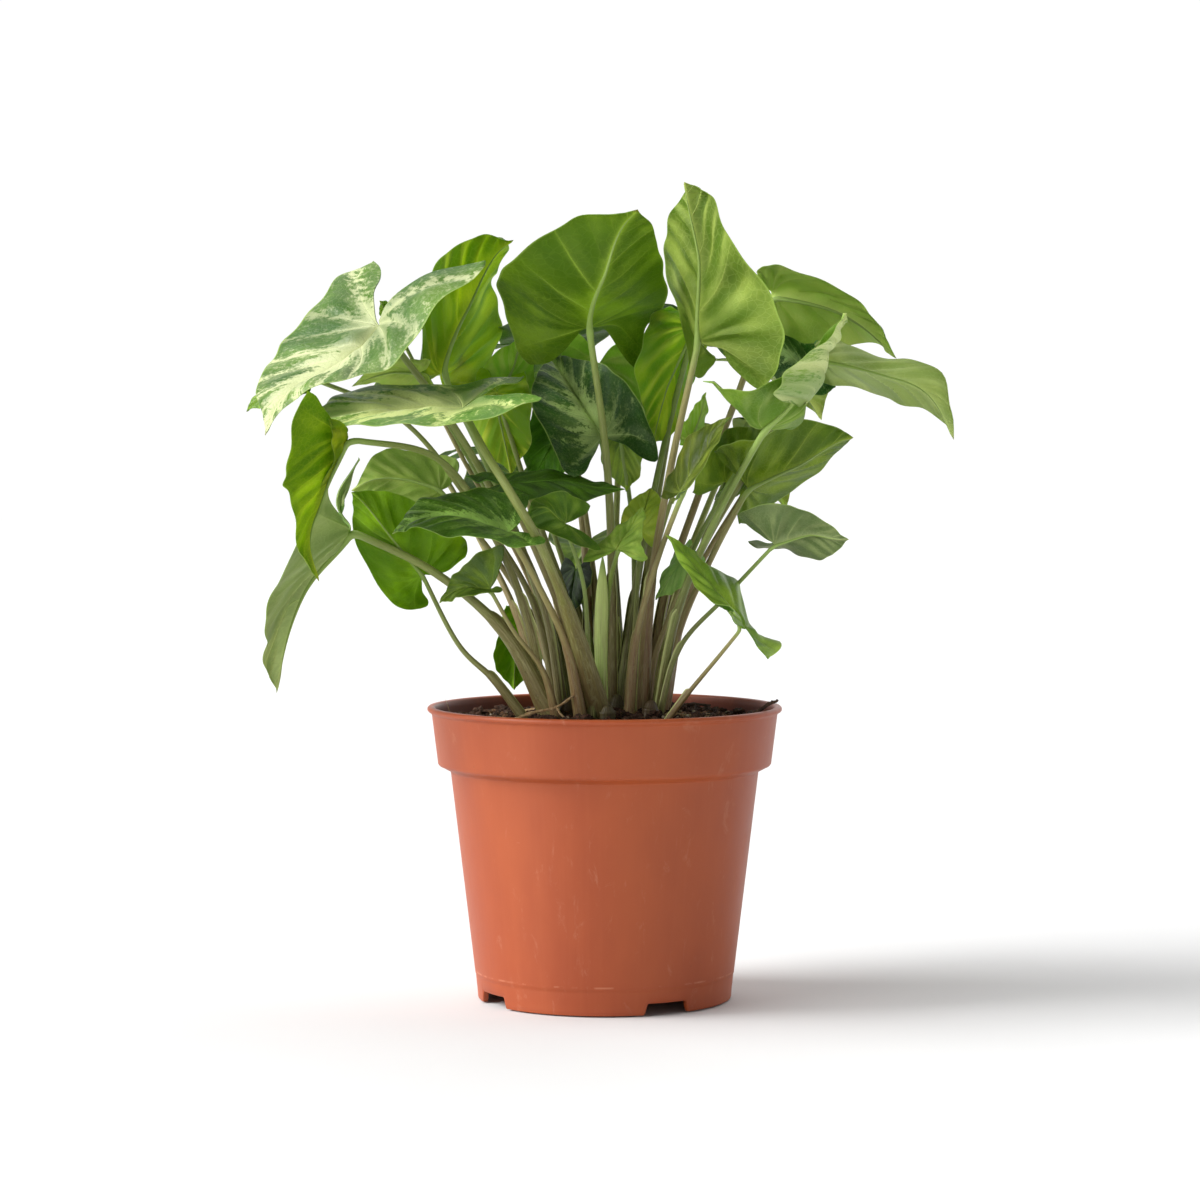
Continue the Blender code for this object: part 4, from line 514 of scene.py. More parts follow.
STYLES = {
    # name: base, second, pale (heart and veins), heart width, heart strength, feather, vein strength
    "cream": ((118, 158, 60), (60, 106, 34), (232, 237, 186), 0.18, 1.00, 1.00, 0.85),
    "creamy": ((128, 158, 84), (70, 112, 54), (216, 228, 160), 0.60, 1.00, 0.80, 0.50),
    "band": ((84, 124, 44), (38, 76, 20), (220, 234, 154), 0.34, 1.00, 0.90, 0.55),
    "heart": ((38, 82, 16), (16, 46, 8), (160, 184, 116), 0.17, 0.92, 1.00, 0.45),
    "dark": ((46, 92, 18), (22, 56, 10), (112, 156, 56), 0.04, 0.40, 0.40, 0.50),
    "mid": ((90, 142, 26), (48, 96, 12), (164, 196, 80), 0.05, 0.38, 0.40, 0.65),
    "lime": ((140, 182, 16), (74, 124, 6), (204, 222, 80), 0.05, 0.42, 0.50, 0.75),
    "grey": ((100, 138, 58), (68, 108, 40), (168, 190, 118), 0.05, 0.40, 0.38, 0.60),
    "deep": ((42, 88, 18), (20, 52, 8), (148, 184, 88), 0.13, 0.90, 0.90, 0.45),
    "fresh": ((120, 170, 38), (80, 134, 22), (198, 222, 108), 0.05, 0.45, 0.50, 0.60),
    "u_strong": ((82, 130, 16), (48, 90, 8), (150, 182, 66), 0.02, 0.25, 0.12, 0.90),
    "u_lime": ((104, 156, 8), (62, 112, 4), (188, 210, 62), 0.03, 0.28, 0.30, 0.80),
    "u_lit": ((148, 186, 18), (62, 104, 6), (216, 226, 80), 0.03, 0.30, 0.40, 0.90),
    "u_olive": ((100, 142, 30), (60, 100, 16), (166, 192, 80), 0.03, 0.30, 0.30, 0.80),
    "u_mid": ((90, 140, 20), (52, 98, 10), (154, 190, 62), 0.02, 0.28, 0.18, 0.85),
    "u_light": ((136, 174, 56), (84, 128, 26), (196, 216, 110), 0.03, 0.28, 0.20, 0.75),
    "u_pale": ((136, 166, 68), (92, 128, 40), (194, 210, 120), 0.04, 0.35, 0.32, 0.70),
    "u_grey": ((110, 144, 68), (74, 110, 42), (176, 194, 118), 0.04, 0.35, 0.30, 0.75),
}
# REACH: how far the pale feathers run out along the side veins; SOFT: how soft their margins are; PAINTED_PATCHES:
# strength of
# the broad patches of painted shade and painted light; PAINTED_BANDS: how strongly the painted bands of light and shade
# between the veins show, where it differs from 0.26; MOTTLE:
# how far the darker patches between the veins show, where it differs from 0.60
REACH = {"cream": 0.95, "band": 0.70, "creamy": 1.2}
SOFT = {"cream": (0.22, 0.78), "band": (0.30, 0.72), "creamy": (0.25, 0.70)}
PAINTED_PATCHES = {"u_lit": 0.85, "lime": 0.80, "cream": 0.25, "band": 0.30, "creamy": 0.0, "heart": 0.45, "deep": 0.45, "dark": 0.50}
PAINTED_BANDS = {"band": 0.15, "u_light": 0.60, "u_lit": 0.85, "lime": 0.60, "u_pale": 0.45, "cream": 0.15, "creamy": 0.15, "heart": 0.12, "u_strong": 0.22, "u_grey": 0.38}
MOTTLE = {"band": 0.80, "u_lit": 1.0, "lime": 0.90, "u_lime": 0.75, "cream": 0.70, "u_strong": 0.55, "u_olive": 0.80, "u_light": 0.70}
# leaf: top style, underside style, wave of the margin (mm), share of light let through, quilting, roll of the margin (mm)
LOOKS = {
    "leaf_01": ("cream", "u_pale", 0.9, 0.24, 1.0, 0.0),
    "leaf_02": ("lime", "u_lit", 0.9, 0.52, 1.5, 0.0),
    "leaf_03": ("band", "u_pale", 0.8, 0.12, 1.0, 0.0),
    "leaf_04": ("lime", "u_lime", 0.8, 0.45, 1.0, 0.0),
    "leaf_05": ("grey", "u_grey", 0.8, 0.25, 1.0, 0.0),
    "leaf_06": ("mid", "u_pale", 0.6, 0.45, 1.0, 0.0),
    "leaf_07": ("mid", "u_mid", 0.6, 0.48, 1.2, 0.0),
    "leaf_08": ("deep", "u_mid", 0.7, 0.15, 1.0, 0.0),
    "leaf_09": ("dark", "u_mid", 0.7, 0.15, 1.0, 0.0),
    "leaf_10": ("mid", "u_mid", 0.5, 0.20, 1.0, 0.8),
    "leaf_11": ("fresh", "u_light", 0.5, 0.30, 1.0, 0.0),
    "leaf_12": ("mid", "u_mid", 0.5, 0.25, 1.0, 0.0),
    "leaf_13": ("mid", "u_mid", 0.4, 0.35, 1.0, 0.0),
    "leaf_14": ("mid", "u_strong", 0.35, 0.40, 0.55, 0.0),
    "leaf_15": ("lime", "u_light", 0.5, 0.42, 1.5, 0.0),
    "leaf_16": ("lime", "u_lit", 0.9, 0.56, 1.4, 0.0),
    "leaf_17": ("heart", "u_mid", 0.7, 0.12, 1.0, 0.0),
    "leaf_18": ("dark", "u_mid", 0.6, 0.15, 1.0, 0.0),
    "leaf_19": ("lime", "u_lit", 0.6, 0.40, 1.0, 0.0),
    "leaf_20": ("fresh", "u_light", 0.6, 0.25, 1.0, 1.0),
    "leaf_21": ("mid", "u_pale", 0.8, 0.20, 1.4, 0.0),
    "leaf_22": ("mid", "u_grey", 0.8, 0.20, 1.0, 0.0),
    "leaf_23": ("creamy", "u_grey", 0.7, 0.22, 1.0, 1.2),
    "leaf_24": ("heart", "u_mid", 0.5, 0.15, 1.0, 0.0),
    "leaf_25": ("mid", "u_olive", 0.7, 0.20, 1.0, 0.0),
    "leaf_26": ("dark", "u_olive", 0.6, 0.20, 1.0, 0.0),
    "leaf_27": ("mid", "u_mid", 0.5, 0.20, 1.0, 0.0),
    "leaf_28": ("fresh", "u_light", 0.4, 0.20, 1.0, 0.0),
    "leaf_29": ("mid", "u_grey", 0.5, 0.20, 1.0, 0.0),
    "leaf_30": ("mid", "u_mid", 0.6, 0.20, 1.0, 0.0),
    "leaf_31": ("fresh", "u_pale", 0.5, 0.12, 1.0, 0.0),
    "leaf_32": ("mid", "u_pale", 0.4, 0.25, 1.0, 0.0),
    "leaf_33": ("lime", "u_light", 0.3, 0.50, 1.0, 0.0),
    "leaf_34": ("mid", "u_mid", 0.4, 0.25, 1.0, 0.0),
    "leaf_35": ("dark", "u_mid", 0.3, 0.15, 1.0, 0.0),
    "leaf_36": ("grey", "u_pale", 0.4, 0.12, 1.0, 0.0),
    "leaf_37": ("fresh", "u_light", 0.6, 0.25, 1.0, 0.0),
    "leaf_38": ("mid", "u_mid", 0.5, 0.20, 1.0, 0.0),
    "leaf_39": ("heart", "u_mid", 0.8, 0.25, 1.0, 0.0),
    "leaf_40": ("dark", "u_mid", 0.8, 0.25, 1.0, 0.0),
    "leaf_41": ("cream", "u_pale", 0.8, 0.25, 1.0, 0.0),
    "leaf_42": ("deep", "u_mid", 0.8, 0.20, 1.0, 0.0),
    "leaf_43": ("heart", "u_mid", 0.8, 0.25, 1.0, 0.0),
    "leaf_44": ("fresh", "u_light", 0.8, 0.15, 1.0, 0.0),
    "leaf_45": ("deep", "u_mid", 0.7, 0.20, 1.0, 0.0),
    "leaf_46": ("cream", "u_pale", 0.8, 0.25, 1.0, 0.0),
    "leaf_47": ("mid", "u_mid", 0.7, 0.25, 1.0, 0.0),
}
# how much wider a blade stays near its tip
BLUNT = {"leaf_14": 0.35, "leaf_02": 0.35, "leaf_16": 0.3, "leaf_07": 0.2}
# petioles set a little otherwise than their rows say: foot, bends, slimness
FOOT = {"leaf_07": (-25.0, -14.5), "leaf_03": (-1.5, -14.0)}
BENDS = {"leaf_03": [(-10.5, -30.0, 127.6), (-20.7, -54.0, 154.8), (-30.6, -60.0, 172.7), (-39.0, -52.0, 186.0)],
         "leaf_30": [(27.0, -23.0, 104.0), (36.0, -29.0, 115.5)],
         "leaf_07": [(-37.0, -13.5, 108.5), (-49.0, -12.5, 120.5)]}
SLIM = {"leaf_30": 0.62, "leaf_07": 0.78, "leaf_29": 0.80, "leaf_10": 0.9, "leaf_12": 0.9, "leaf_03": 1.18, "leaf_05": 1.1}
# which of the three petiole skins, where it isn't simply the next in turn
SKIN = {"leaf_15": 2, "leaf_16": 1, "leaf_03": 0, "leaf_14": 0, "leaf_05": 0, "leaf_08": 2, "leaf_25": 2, "leaf_23": 1, "leaf_10": 1}
# each leaf's depth of colour (red, green, blue): partly its own, partly painted light and shade that brightens blades
# lying in shade and darkens a few others
TONE = {
    "leaf_01": (0.70, 0.78, 0.28),
    "leaf_02": (4.60, 2.73, 5.00),
    "leaf_03": (2.00, 1.85, 1.10),
    "leaf_04": (2.59, 1.68, 1.00),
    "leaf_05": (3.97, 2.51, 5.00),
    "leaf_06": (2.58, 2.04, 3.20),
    "leaf_07": (4.60, 2.99, 1.00),
    "leaf_08": (4.03, 2.56, 1.00),
    "leaf_09": (4.26, 2.48, 1.00),
    "leaf_10": (1.61, 1.19, 1.00),
    "leaf_11": (2.62, 1.66, 4.88),
    "leaf_12": (1.55, 0.92, 0.69),
    "leaf_13": (4.60, 3.40, 1.00),
    "leaf_14": (2.89, 1.80, 1.00),
    "leaf_15": (1.39, 1.03, 1.59),
    "leaf_16": (4.60, 3.40, 5.00),
    "leaf_17": (2.00, 1.85, 0.70),
    "leaf_18": (4.60, 3.40, 1.00),
    "leaf_19": (4.60, 3.16, 1.11),
    "leaf_20": (3.60, 3.00, 3.60),
    "leaf_21": (4.60, 3.40, 4.91),
    "leaf_22": (4.24, 2.75, 3.65),
    "leaf_23": (1.82, 1.71, 0.74),
    "leaf_24": (1.35, 2.05, 1.00),
    "leaf_25": (1.71, 1.30, 0.25),
    "leaf_26": (2.42, 1.79, 1.00),
    "leaf_27": (1.72, 0.75, 1.34),
    "leaf_28": (3.60, 3.00, 3.60),
    "leaf_29": (1.74, 1.23, 2.46),
    "leaf_30": (4.60, 2.56, 5.00),
    "leaf_31": (4.60, 2.32, 5.00),
    "leaf_32": (4.60, 3.40, 5.00),
    "leaf_33": (2.40, 2.00, 1.50),
    "leaf_34": (3.00, 1.81, 3.00),
    "leaf_35": (0.25, 0.25, 0.25),
    "leaf_36": (3.40, 2.80, 3.40),
    "leaf_37": (3.40, 2.90, 3.20),
    "leaf_38": (3.49, 1.84, 5.00),
    "leaf_42": (0.67, 0.72, 0.25),
    "leaf_43": (4.60, 2.16, 5.00),
    "leaf_44": (3.46, 2.17, 5.00),
    "leaf_47": (1.49, 1.04, 0.25),
}
# TONE, painted light and shade included, is the colour of the face that the blade turns to the front: its top on these,
# its underside on the rest.
# The other face keeps nearer to the plant's ordinary green.
TOP_FIRST = {"leaf_01", "leaf_03", "leaf_08", "leaf_09", "leaf_11", "leaf_12", "leaf_17", "leaf_18", "leaf_24",
             "leaf_27", "leaf_30", "leaf_31", "leaf_34", "leaf_35", "leaf_36"}
# curled, rolled or edge-on blades that show some of each face
BOTH_FACES = {"leaf_04", "leaf_10", "leaf_20", "leaf_23"}
# long blades that stand behind others, and need less fine a mesh
SET_BACK = {"leaf_09", "leaf_17", "leaf_21", "leaf_22", "leaf_25", "leaf_30", "leaf_37"}
# soft lamps: name, direction towards the lamp, apparent width in degrees, strength
SUNS = [
    ("key", (-1.0, -0.06, 0.86), 33.0, 3.6),
    ("front", (-0.88, -0.50, 0.28), 40.0, 2.1),
    ("back", (0.3, 0.8, 1.0), 90.0, 1.8),
]



def dyed(colour, tone, most=0.80):
    """Colour times tone, held under the lightness a leaf can have without losing its hue."""
    mixed = [c * t_ for c, t_ in zip(colour[:3], tone)]
    over = min(1.0, most / max(mixed))
    return tuple(c * over for c in mixed) + (1.0,)


def blade_material(name, top, under, seed, through, tone=(1.0, 1.0, 1.0), dry=0.4, relief_gain=1.0, full_tone_sides=(True, True)):
    mat = bpy.data.materials.new(name)
    nb = Nodes(mat)
    t = nb.attr("tpl")
    x, y, side = nb.xyz(t.outputs["Vector"])
    ax = nb.m("ABSOLUTE", x)
    ax2 = nb.m("MULTIPLY", ax, ax)
    lift = nb.m("ADD", nb.m("MULTIPLY", ax, 0.42), nb.m("MULTIPLY", ax2, 0.30))
    ym = nb.m("SUBTRACT", y, lift)
    s = nb.m("DIVIDE", ym, nb.m("ADD", nb.m("MULTIPLY", ax, 1.9), 1.0))
    # a slow wander keeps the veins from being ruler straight
    flat = nb.comb(x, y, seed * 3.7)
    wob = nb.m("MULTIPLY", nb.m("SUBTRACT", nb.noise(flat, 5.0, 2.0), 0.5), 0.035)
    sw = nb.m("ADD", s, wob)
    fr = nb.m("SUBTRACT", nb.m("FRACT", nb.m("ADD", nb.m("DIVIDE", sw, VEIN_STEP), 20.5)), 0.5)
    d_up = nb.m("MULTIPLY", nb.m("MULTIPLY", nb.m("ABSOLUTE", fr), VEIN_STEP * 0.75), nb.m("ADD", nb.m("MULTIPLY", ax, 1.9), 1.0))
    yy = nb.m("MULTIPLY", ym, -1.0)
    ang = nb.m("ARCTAN2", yy, nb.m("ADD", ax, 0.00001))
    rad = nb.m("SQRT", nb.m("ADD", ax2, nb.m("MULTIPLY", ym, ym)))
    fa = nb.m("SUBTRACT", nb.m("FRACT", nb.m("ADD", nb.m("DIVIDE", nb.m("ADD", ang, nb.m("MULTIPLY", wob, 2.0)), VEIN_FAN), 20.5)), 0.5)
    d_low = nb.m("MULTIPLY", nb.m("MULTIPLY", nb.m("ABSOLUTE", fa), VEIN_FAN), rad)
    upper = nb.m("GREATER_THAN", s, 0.0)
    # which vein this is, so that each one is a little stronger or weaker than the next
    which = nb.m("ADD", nb.m("MULTIPLY", nb.m("FLOOR", nb.m("ADD", nb.m("DIVIDE", sw, VEIN_STEP), 20.5)), upper),
                 nb.m("MULTIPLY", nb.m("FLOOR", nb.m("ADD", nb.m("DIVIDE", ang, VEIN_FAN), 60.5)), nb.m("SUBTRACT", 1.0, upper)))
    hand = nb.m("GREATER_THAN", x, 0.0)
    lot = nb.noise(nb.comb(nb.m("MULTIPLY", which, 3.37), nb.m("MULTIPLY", hand, 5.1), seed * 2.9), 1.0, 0.0)
    strong = nb.step(lot, 0.36, 0.62, 0.18, 1.0)
    # swing from one side of each vein to the other, for the painted bands of light and shade between them
    swing = nb.m("ADD", nb.m("MULTIPLY", nb.m("SINE", nb.m("MULTIPLY", fr, 2 * math.pi)), upper),
                 nb.m("MULTIPLY", nb.m("SINE", nb.m("MULTIPLY", fa, -2 * math.pi)), nb.m("SUBTRACT", 1.0, upper)))
    swing = nb.m("MULTIPLY", swing, nb.m("MULTIPLY", nb.step(ax, 0.02, 0.10), nb.step(ax, 0.30, 0.46, 1.0, 0.2)))
    d = nb.m("ADD", nb.m("MULTIPLY", d_up, upper), nb.m("MULTIPLY", d_low, nb.m("SUBTRACT", 1.0, upper)))
    # distance to the midrib, which runs only from the hub to the tip
    dm = nb.m("ADD", ax, nb.m("MULTIPLY", nb.m("MAXIMUM", nb.m("MULTIPLY", y, -1.0), 0.0), 0.9))
    # streak coordinates: fine across the side veins, long along them
    along = nb.comb(nb.m("MULTIPLY", sw, 9.0), nb.m("MULTIPLY", rad, 2.4), seed * 1.3)
    streak = nb.noise(along, 4.0, 4.0, 0.62, 0.25)
    speck = nb.noise(flat, 42.0, 3.0, 0.65)
    cloud = nb.noise(flat, 3.2, 3.0, 0.55)
    broad = nb.noise(nb.comb(x, y, seed * 5.1), 2.1, 2.0, 0.5)
    fine = nb.noise(flat, 130.0, 2.0, 0.6)

    def gauss(v, w):
        q = nb.m("DIVIDE", v, w)
        return nb.m("EXPONENT", nb.m("MULTIPLY", nb.m("MULTIPLY", q, q), -1.0))

    cells = nb.voronoi(nb.comb(nb.m("ADD", x, nb.m("MULTIPLY", wob, 0.6)), y, seed), 26.0, "DISTANCE_TO_EDGE").outputs["Distance"]
    net = nb.step(cells, 0.0, 0.09, 1.0, 0.0)
    results = []
    painted_bands = nb.m("MULTIPLY", swing, nb.step(nb.noise(nb.comb(x, y, seed * 8.3), 4.5, 2.0), 0.34, 0.60, 0.3, 1.0))
    grains = nb.noise(nb.comb(x, y, seed * 6.1), 30.0, 4.0, 0.72)
    painted_patch = nb.noise(nb.comb(x, y, seed * 4.4), 2.6, 2.0, 0.5)
    full_tone = tone
    for style, full_tone_side in zip((top, under), full_tone_sides):
        # one face of a blade carries the leaf's tone, painted light and shade included, in full, the other only a
        # little of it
        tone = full_tone if full_tone_side else tuple(min(max(c ** 0.4, 0.6), 1.45) for c in full_tone)
        level = 0.3 * tone[0] + 0.7 * tone[1]
        mild = tuple(min(max(1 + 0.45 * (level - 1) + 0.15 * (c - level), 0.6), 1.6) for c in tone)
        base, second, pale, heart_w, heart_s, feather, vein_s = STYLES[style]
        base, second, pale = (dyed(srgb(*v), hue)
                              for v, hue in ((base, tone), (second, tone), (pale, mild)))
        # deep: the second green darkened, a shaded copy used for painted shade
        deep = tuple(c * 0.62 for c in second[:3]) + (1.0,)
        col = nb.mix(nb.step(nb.m("ADD", nb.m("MULTIPLY", cloud, 0.75), nb.m("MULTIPLY", streak, 0.35)), 0.35, 0.75), second, base)
        # heart: pale zone along the midrib that feathers out along the side veins and breaks up into mottles
        taper = nb.m("MULTIPLY", nb.step(y, -0.4, 0.95, 1.20, 0.25), heart_w)
        h1 = nb.m("MULTIPLY", gauss(dm, taper), nb.step(y, 0.70, 1.0, 1.0, 0.55))
        h2 = nb.m("MULTIPLY", gauss(d, 0.042), gauss(ax, REACH.get(style, 0.50)))
        h2 = nb.m("MULTIPLY", h2, nb.step(streak, 0.30, 0.62, 0.45, 1.0))
        amount = nb.m("ADD", nb.m("MULTIPLY", h1, heart_s), nb.m("MULTIPLY", h2, 0.78 * feather))
        amount = nb.m("ADD", amount, nb.m("MULTIPLY", nb.m("SUBTRACT", streak, 0.5), 1.6 * feather))
        amount = nb.m("ADD", amount, nb.m("MULTIPLY", nb.m("SUBTRACT", grains, 0.5), 2.4 * feather))
        amount = nb.m("ADD", amount, nb.m("MULTIPLY", nb.m("SUBTRACT", cloud, 0.5), 0.9 * feather))
        heart = nb.step(amount, *SOFT.get(style, (0.30, 0.84)), 0.0, min(1.0, heart_s + 0.08))
        col = nb.mix(heart, col, pale)
        fleck = nb.m("MULTIPLY", nb.step(speck, 0.52, 0.68), nb.step(ax, 0.10, 0.50, 0.60, 0.35))
        col = nb.mix(nb.m("MULTIPLY", fleck, 0.70 * feather), col, pale)
        # broad soft patches of painted shade and painted light, placed at random, where the whole blade is darker or
        # paler
        share = PAINTED_PATCHES.get(style, 0.60)
        col = nb.mix(nb.step(painted_patch, 0.38, 0.60, share, 0.0), col, deep)
        col = nb.mix(nb.step(painted_patch, 0.50, 0.70, 0.0, 0.30 * share), col, pale)
        # painted bands of light and shade between the veins, standing in for the shading of the quilted relief
        gain = PAINTED_BANDS.get(style, 0.26)
        col = nb.mix(nb.m("MULTIPLY", nb.m("MAXIMUM", painted_bands, 0.0), gain), col, pale)
        col = nb.mix(nb.m("MULTIPLY", nb.m("MAXIMUM", nb.m("MULTIPLY", painted_bands, -1.0), 0.0), gain * 1.5), col, second)
        # veins and their finest net: each vein is a thin bright line in a softer, wider band
        rib = gauss(dm, 0.0090 if style[:2] == "u_" else 0.0068)
        fade = nb.m("MULTIPLY", nb.step(ax, 0.08, 0.40, 1.0, 0.12), strong)
        line = nb.m("MULTIPLY", gauss(d, 0.0042), fade)
        soft = nb.m("MULTIPLY", gauss(d, 0.018), fade)
        vein = nb.m("MAXIMUM", rib, nb.m("MULTIPLY", line, 0.80))
        glow = nb.m("MAXIMUM", gauss(dm, 0.030), nb.m("MULTIPLY", soft, 0.8))
        col = nb.mix(nb.m("MULTIPLY", glow, 0.42 * vein_s), col, pale)
        col = nb.mix(nb.m("MULTIPLY", vein, vein_s), col, pale)
        col = nb.mix(nb.m("MULTIPLY", net, 0.16 if style[:2] == "u_" else 0.09), col, pale)
        col = nb.mix(nb.m("MULTIPLY", nb.step(fine, 0.45, 0.75), 0.22), col, second)
        # darker patches lie between the veins, in broad drifts
        gap = nb.m("MULTIPLY", nb.m("SUBTRACT", 1.0, glow), nb.step(broad, 0.40, 0.66))
        col = nb.mix(nb.m("MULTIPLY", gap, MOTTLE.get(style, 0.60)), col, second)
        results.append((col, vein))
    is_top = nb.step(side, 0.35, 0.65)
    colour = nb.mix(is_top, results[1][0], results[0][0])
    edge = nb.attr("edge").outputs["Fac"]
    colour = nb.mix(nb.m("MULTIPLY", nb.step(edge, 0.965, 0.995), 0.55), colour, srgb(170, 196, 96))
    # the very tip dries out first
    colour = nb.mix(nb.m("MULTIPLY", nb.step(y, 0.965, 0.995), dry), colour, srgb(122, 92, 48))
    vein = nb.m("MAXIMUM", results[1][1], results[0][1])
    # relief: veins sunk on top and raised beneath, a soft pucker between them, a fine grain
    sign = nb.m("SUBTRACT", nb.m("MULTIPLY", is_top, -2.0), -1.0)
    relief = nb.m("MULTIPLY", vein, sign)
    relief = nb.m("ADD", relief, nb.m("MULTIPLY", nb.m("MULTIPLY", net, sign), 0.16))
    relief = nb.m("ADD", relief, nb.m("MULTIPLY", nb.noise(flat, 14.0, 3.0, 0.55), 0.55))
    relief = nb.m("ADD", relief, nb.m("MULTIPLY", fine, 0.10))
    normal = nb.bump(relief, 0.60, 0.0005 * relief_gain)
    rough = nb.m("ADD", nb.m("MULTIPLY", cloud, 0.14), nb.m("ADD", nb.m("MULTIPLY", is_top, -0.10), 0.42))
    rough = nb.m("ADD", rough, nb.m("MULTIPLY", fine, 0.06))
    p = nb.principled(colour, rough, normal, spec=0.30)
    tr = nb.new("ShaderNodeBsdfTranslucent")
    nb.put(tr.inputs["Color"], nb.mix(GLOW, colour, srgb(176, 208, 60)))
    nb.put(tr.inputs["Normal"], normal)
    mx = nb.new("ShaderNodeMixShader")
    mx.inputs[0].default_value = through
    nb.nt.links.new(p.outputs[0], mx.inputs[1])
    nb.nt.links.new(tr.outputs[0], mx.inputs[2])
    nb.out(mx.outputs[0])
    return mat


def stalk_material(name, low, high, seed, dusk=srgb(112, 88, 58), painted_glint=0.45):
    """Petiole skin: brown olive at the foot, greener upwards, finely ribbed lengthwise."""
    mat = bpy.data.materials.new(name)
    nb = Nodes(mat)
    t = nb.attr("tpl")
    turn, along, mm = nb.xyz(t.outputs["Vector"])     # turn 0..1 round the stalk, 0..1 along, mm along
    ca = nb.m("COSINE", nb.m("MULTIPLY", turn, 2 * math.pi))
    sa = nb.m("SINE", nb.m("MULTIPLY", turn, 2 * math.pi))
    v = nb.comb(nb.m("MULTIPLY", ca, 1.0), nb.m("MULTIPLY", sa, 1.0), nb.m("MULTIPLY", mm, 0.035))
    streak = nb.noise(v, 7.0, 4.0, 0.6)
    blot = nb.noise(nb.comb(ca, sa, nb.m("MULTIPLY", mm, 0.12)), 1.6, 3.0, 0.6)
    pores = nb.noise(nb.comb(nb.m("MULTIPLY", ca, 3.0), nb.m("MULTIPLY", sa, 3.0), nb.m("MULTIPLY", mm, 1.2)), 3.0, 2.0, 0.6)
    grad = nb.m("ADD", along, nb.m("MULTIPLY", nb.m("SUBTRACT", blot, 0.5), 0.45))
    col = nb.mix(nb.step(grad, 0.05, 0.85), low, high)
    # pale lengthwise streaks are painted glints along the stalk
    col = nb.mix(nb.m("MULTIPLY", nb.step(streak, 0.42, 0.72), painted_glint), col, srgb(176, 176, 120))
    col = nb.mix(nb.m("MULTIPLY", nb.step(pores, 0.60, 0.80), 0.35), col, srgb(84, 70, 40))
    brown = nb.noise(nb.comb(nb.m("MULTIPLY", ca, 0.6), nb.m("MULTIPLY", sa, 0.6), nb.m("ADD", nb.m("MULTIPLY", mm, 0.02), seed * 2.3)), 2.2, 3.0, 0.55)
    col = nb.mix(nb.m("MULTIPLY", nb.step(brown, 0.44, 0.66), nb.step(along, 0.10, 0.90, 0.70, 0.0)), col, dusk)
    # under the blade the stalk turns as pale green as the veins that leave it
    col = nb.mix(nb.step(along, 0.86, 1.0, 0.0, 0.92), col, srgb(146, 174, 84))
    rim = nb.attr("edge").outputs["Fac"]
    col = nb.mix(nb.m("MULTIPLY", nb.step(rim, 0.80, 1.0), 0.80), col, srgb(196, 204, 128))
    ribs = nb.m("SINE", nb.m("MULTIPLY", turn, 2 * math.pi * 16))
    h = nb.m("ADD", nb.m("MULTIPLY", ribs, 0.35), nb.m("MULTIPLY", streak, 1.0))
    normal = nb.bump(h, 0.5, 0.0002)
    rough = nb.m("ADD", nb.m("MULTIPLY", blot, 0.2), 0.36)
    p = nb.principled(col, rough, normal, spec=0.45)
    nb.out(p.outputs[0])
    return mat


# ------------------------------------------------------------------ mesh helpers
def mesh_object(name, verts, faces, mats, face_mat=None, attrs=None, uv=None, smooth=True):
    mesh = bpy.data.meshes.new(name)
    mesh.from_pydata([tuple(v) for v in verts], [], [tuple(f) for f in faces])
    for m in mats:
        mesh.materials.append(m)
    if face_mat is not None:
        mesh.polygons.foreach_set("material_index", np.asarray(face_mat, np.int32))
    for key, (kind, data) in (attrs or {}).items():
        a = mesh.attributes.new(key, kind, "POINT")
        a.data.foreach_set("vector" if kind == "FLOAT_VECTOR" else "value", np.asarray(data, np.float32).ravel())
    if uv is not None:
        layer = mesh.uv_layers.new(name="OFBake")
        loops = np.zeros(len(mesh.loops), np.int32)
        mesh.loops.foreach_get("vertex_index", loops)
        layer.data.foreach_set("uv", np.asarray(uv, np.float32)[loops].ravel())
    if smooth:
        mesh.polygons.foreach_set("use_smooth", np.ones(len(mesh.polygons), bool))
    mesh.update()
    obj = bpy.data.objects.new(name, mesh)
    bpy.context.scene.collection.objects.link(obj)
    return obj


def point_normals(V, quads):
    n = np.zeros_like(V)
    a, b, c, d = (V[quads[:, i]] for i in range(4))
    fn = np.cross(c - a, d - b)
    for i in range(4):
        np.add.at(n, quads[:, i], fn)
    return n / np.maximum(np.linalg.norm(n, axis=1), 1e-12)[:, None]


FRAMES = []


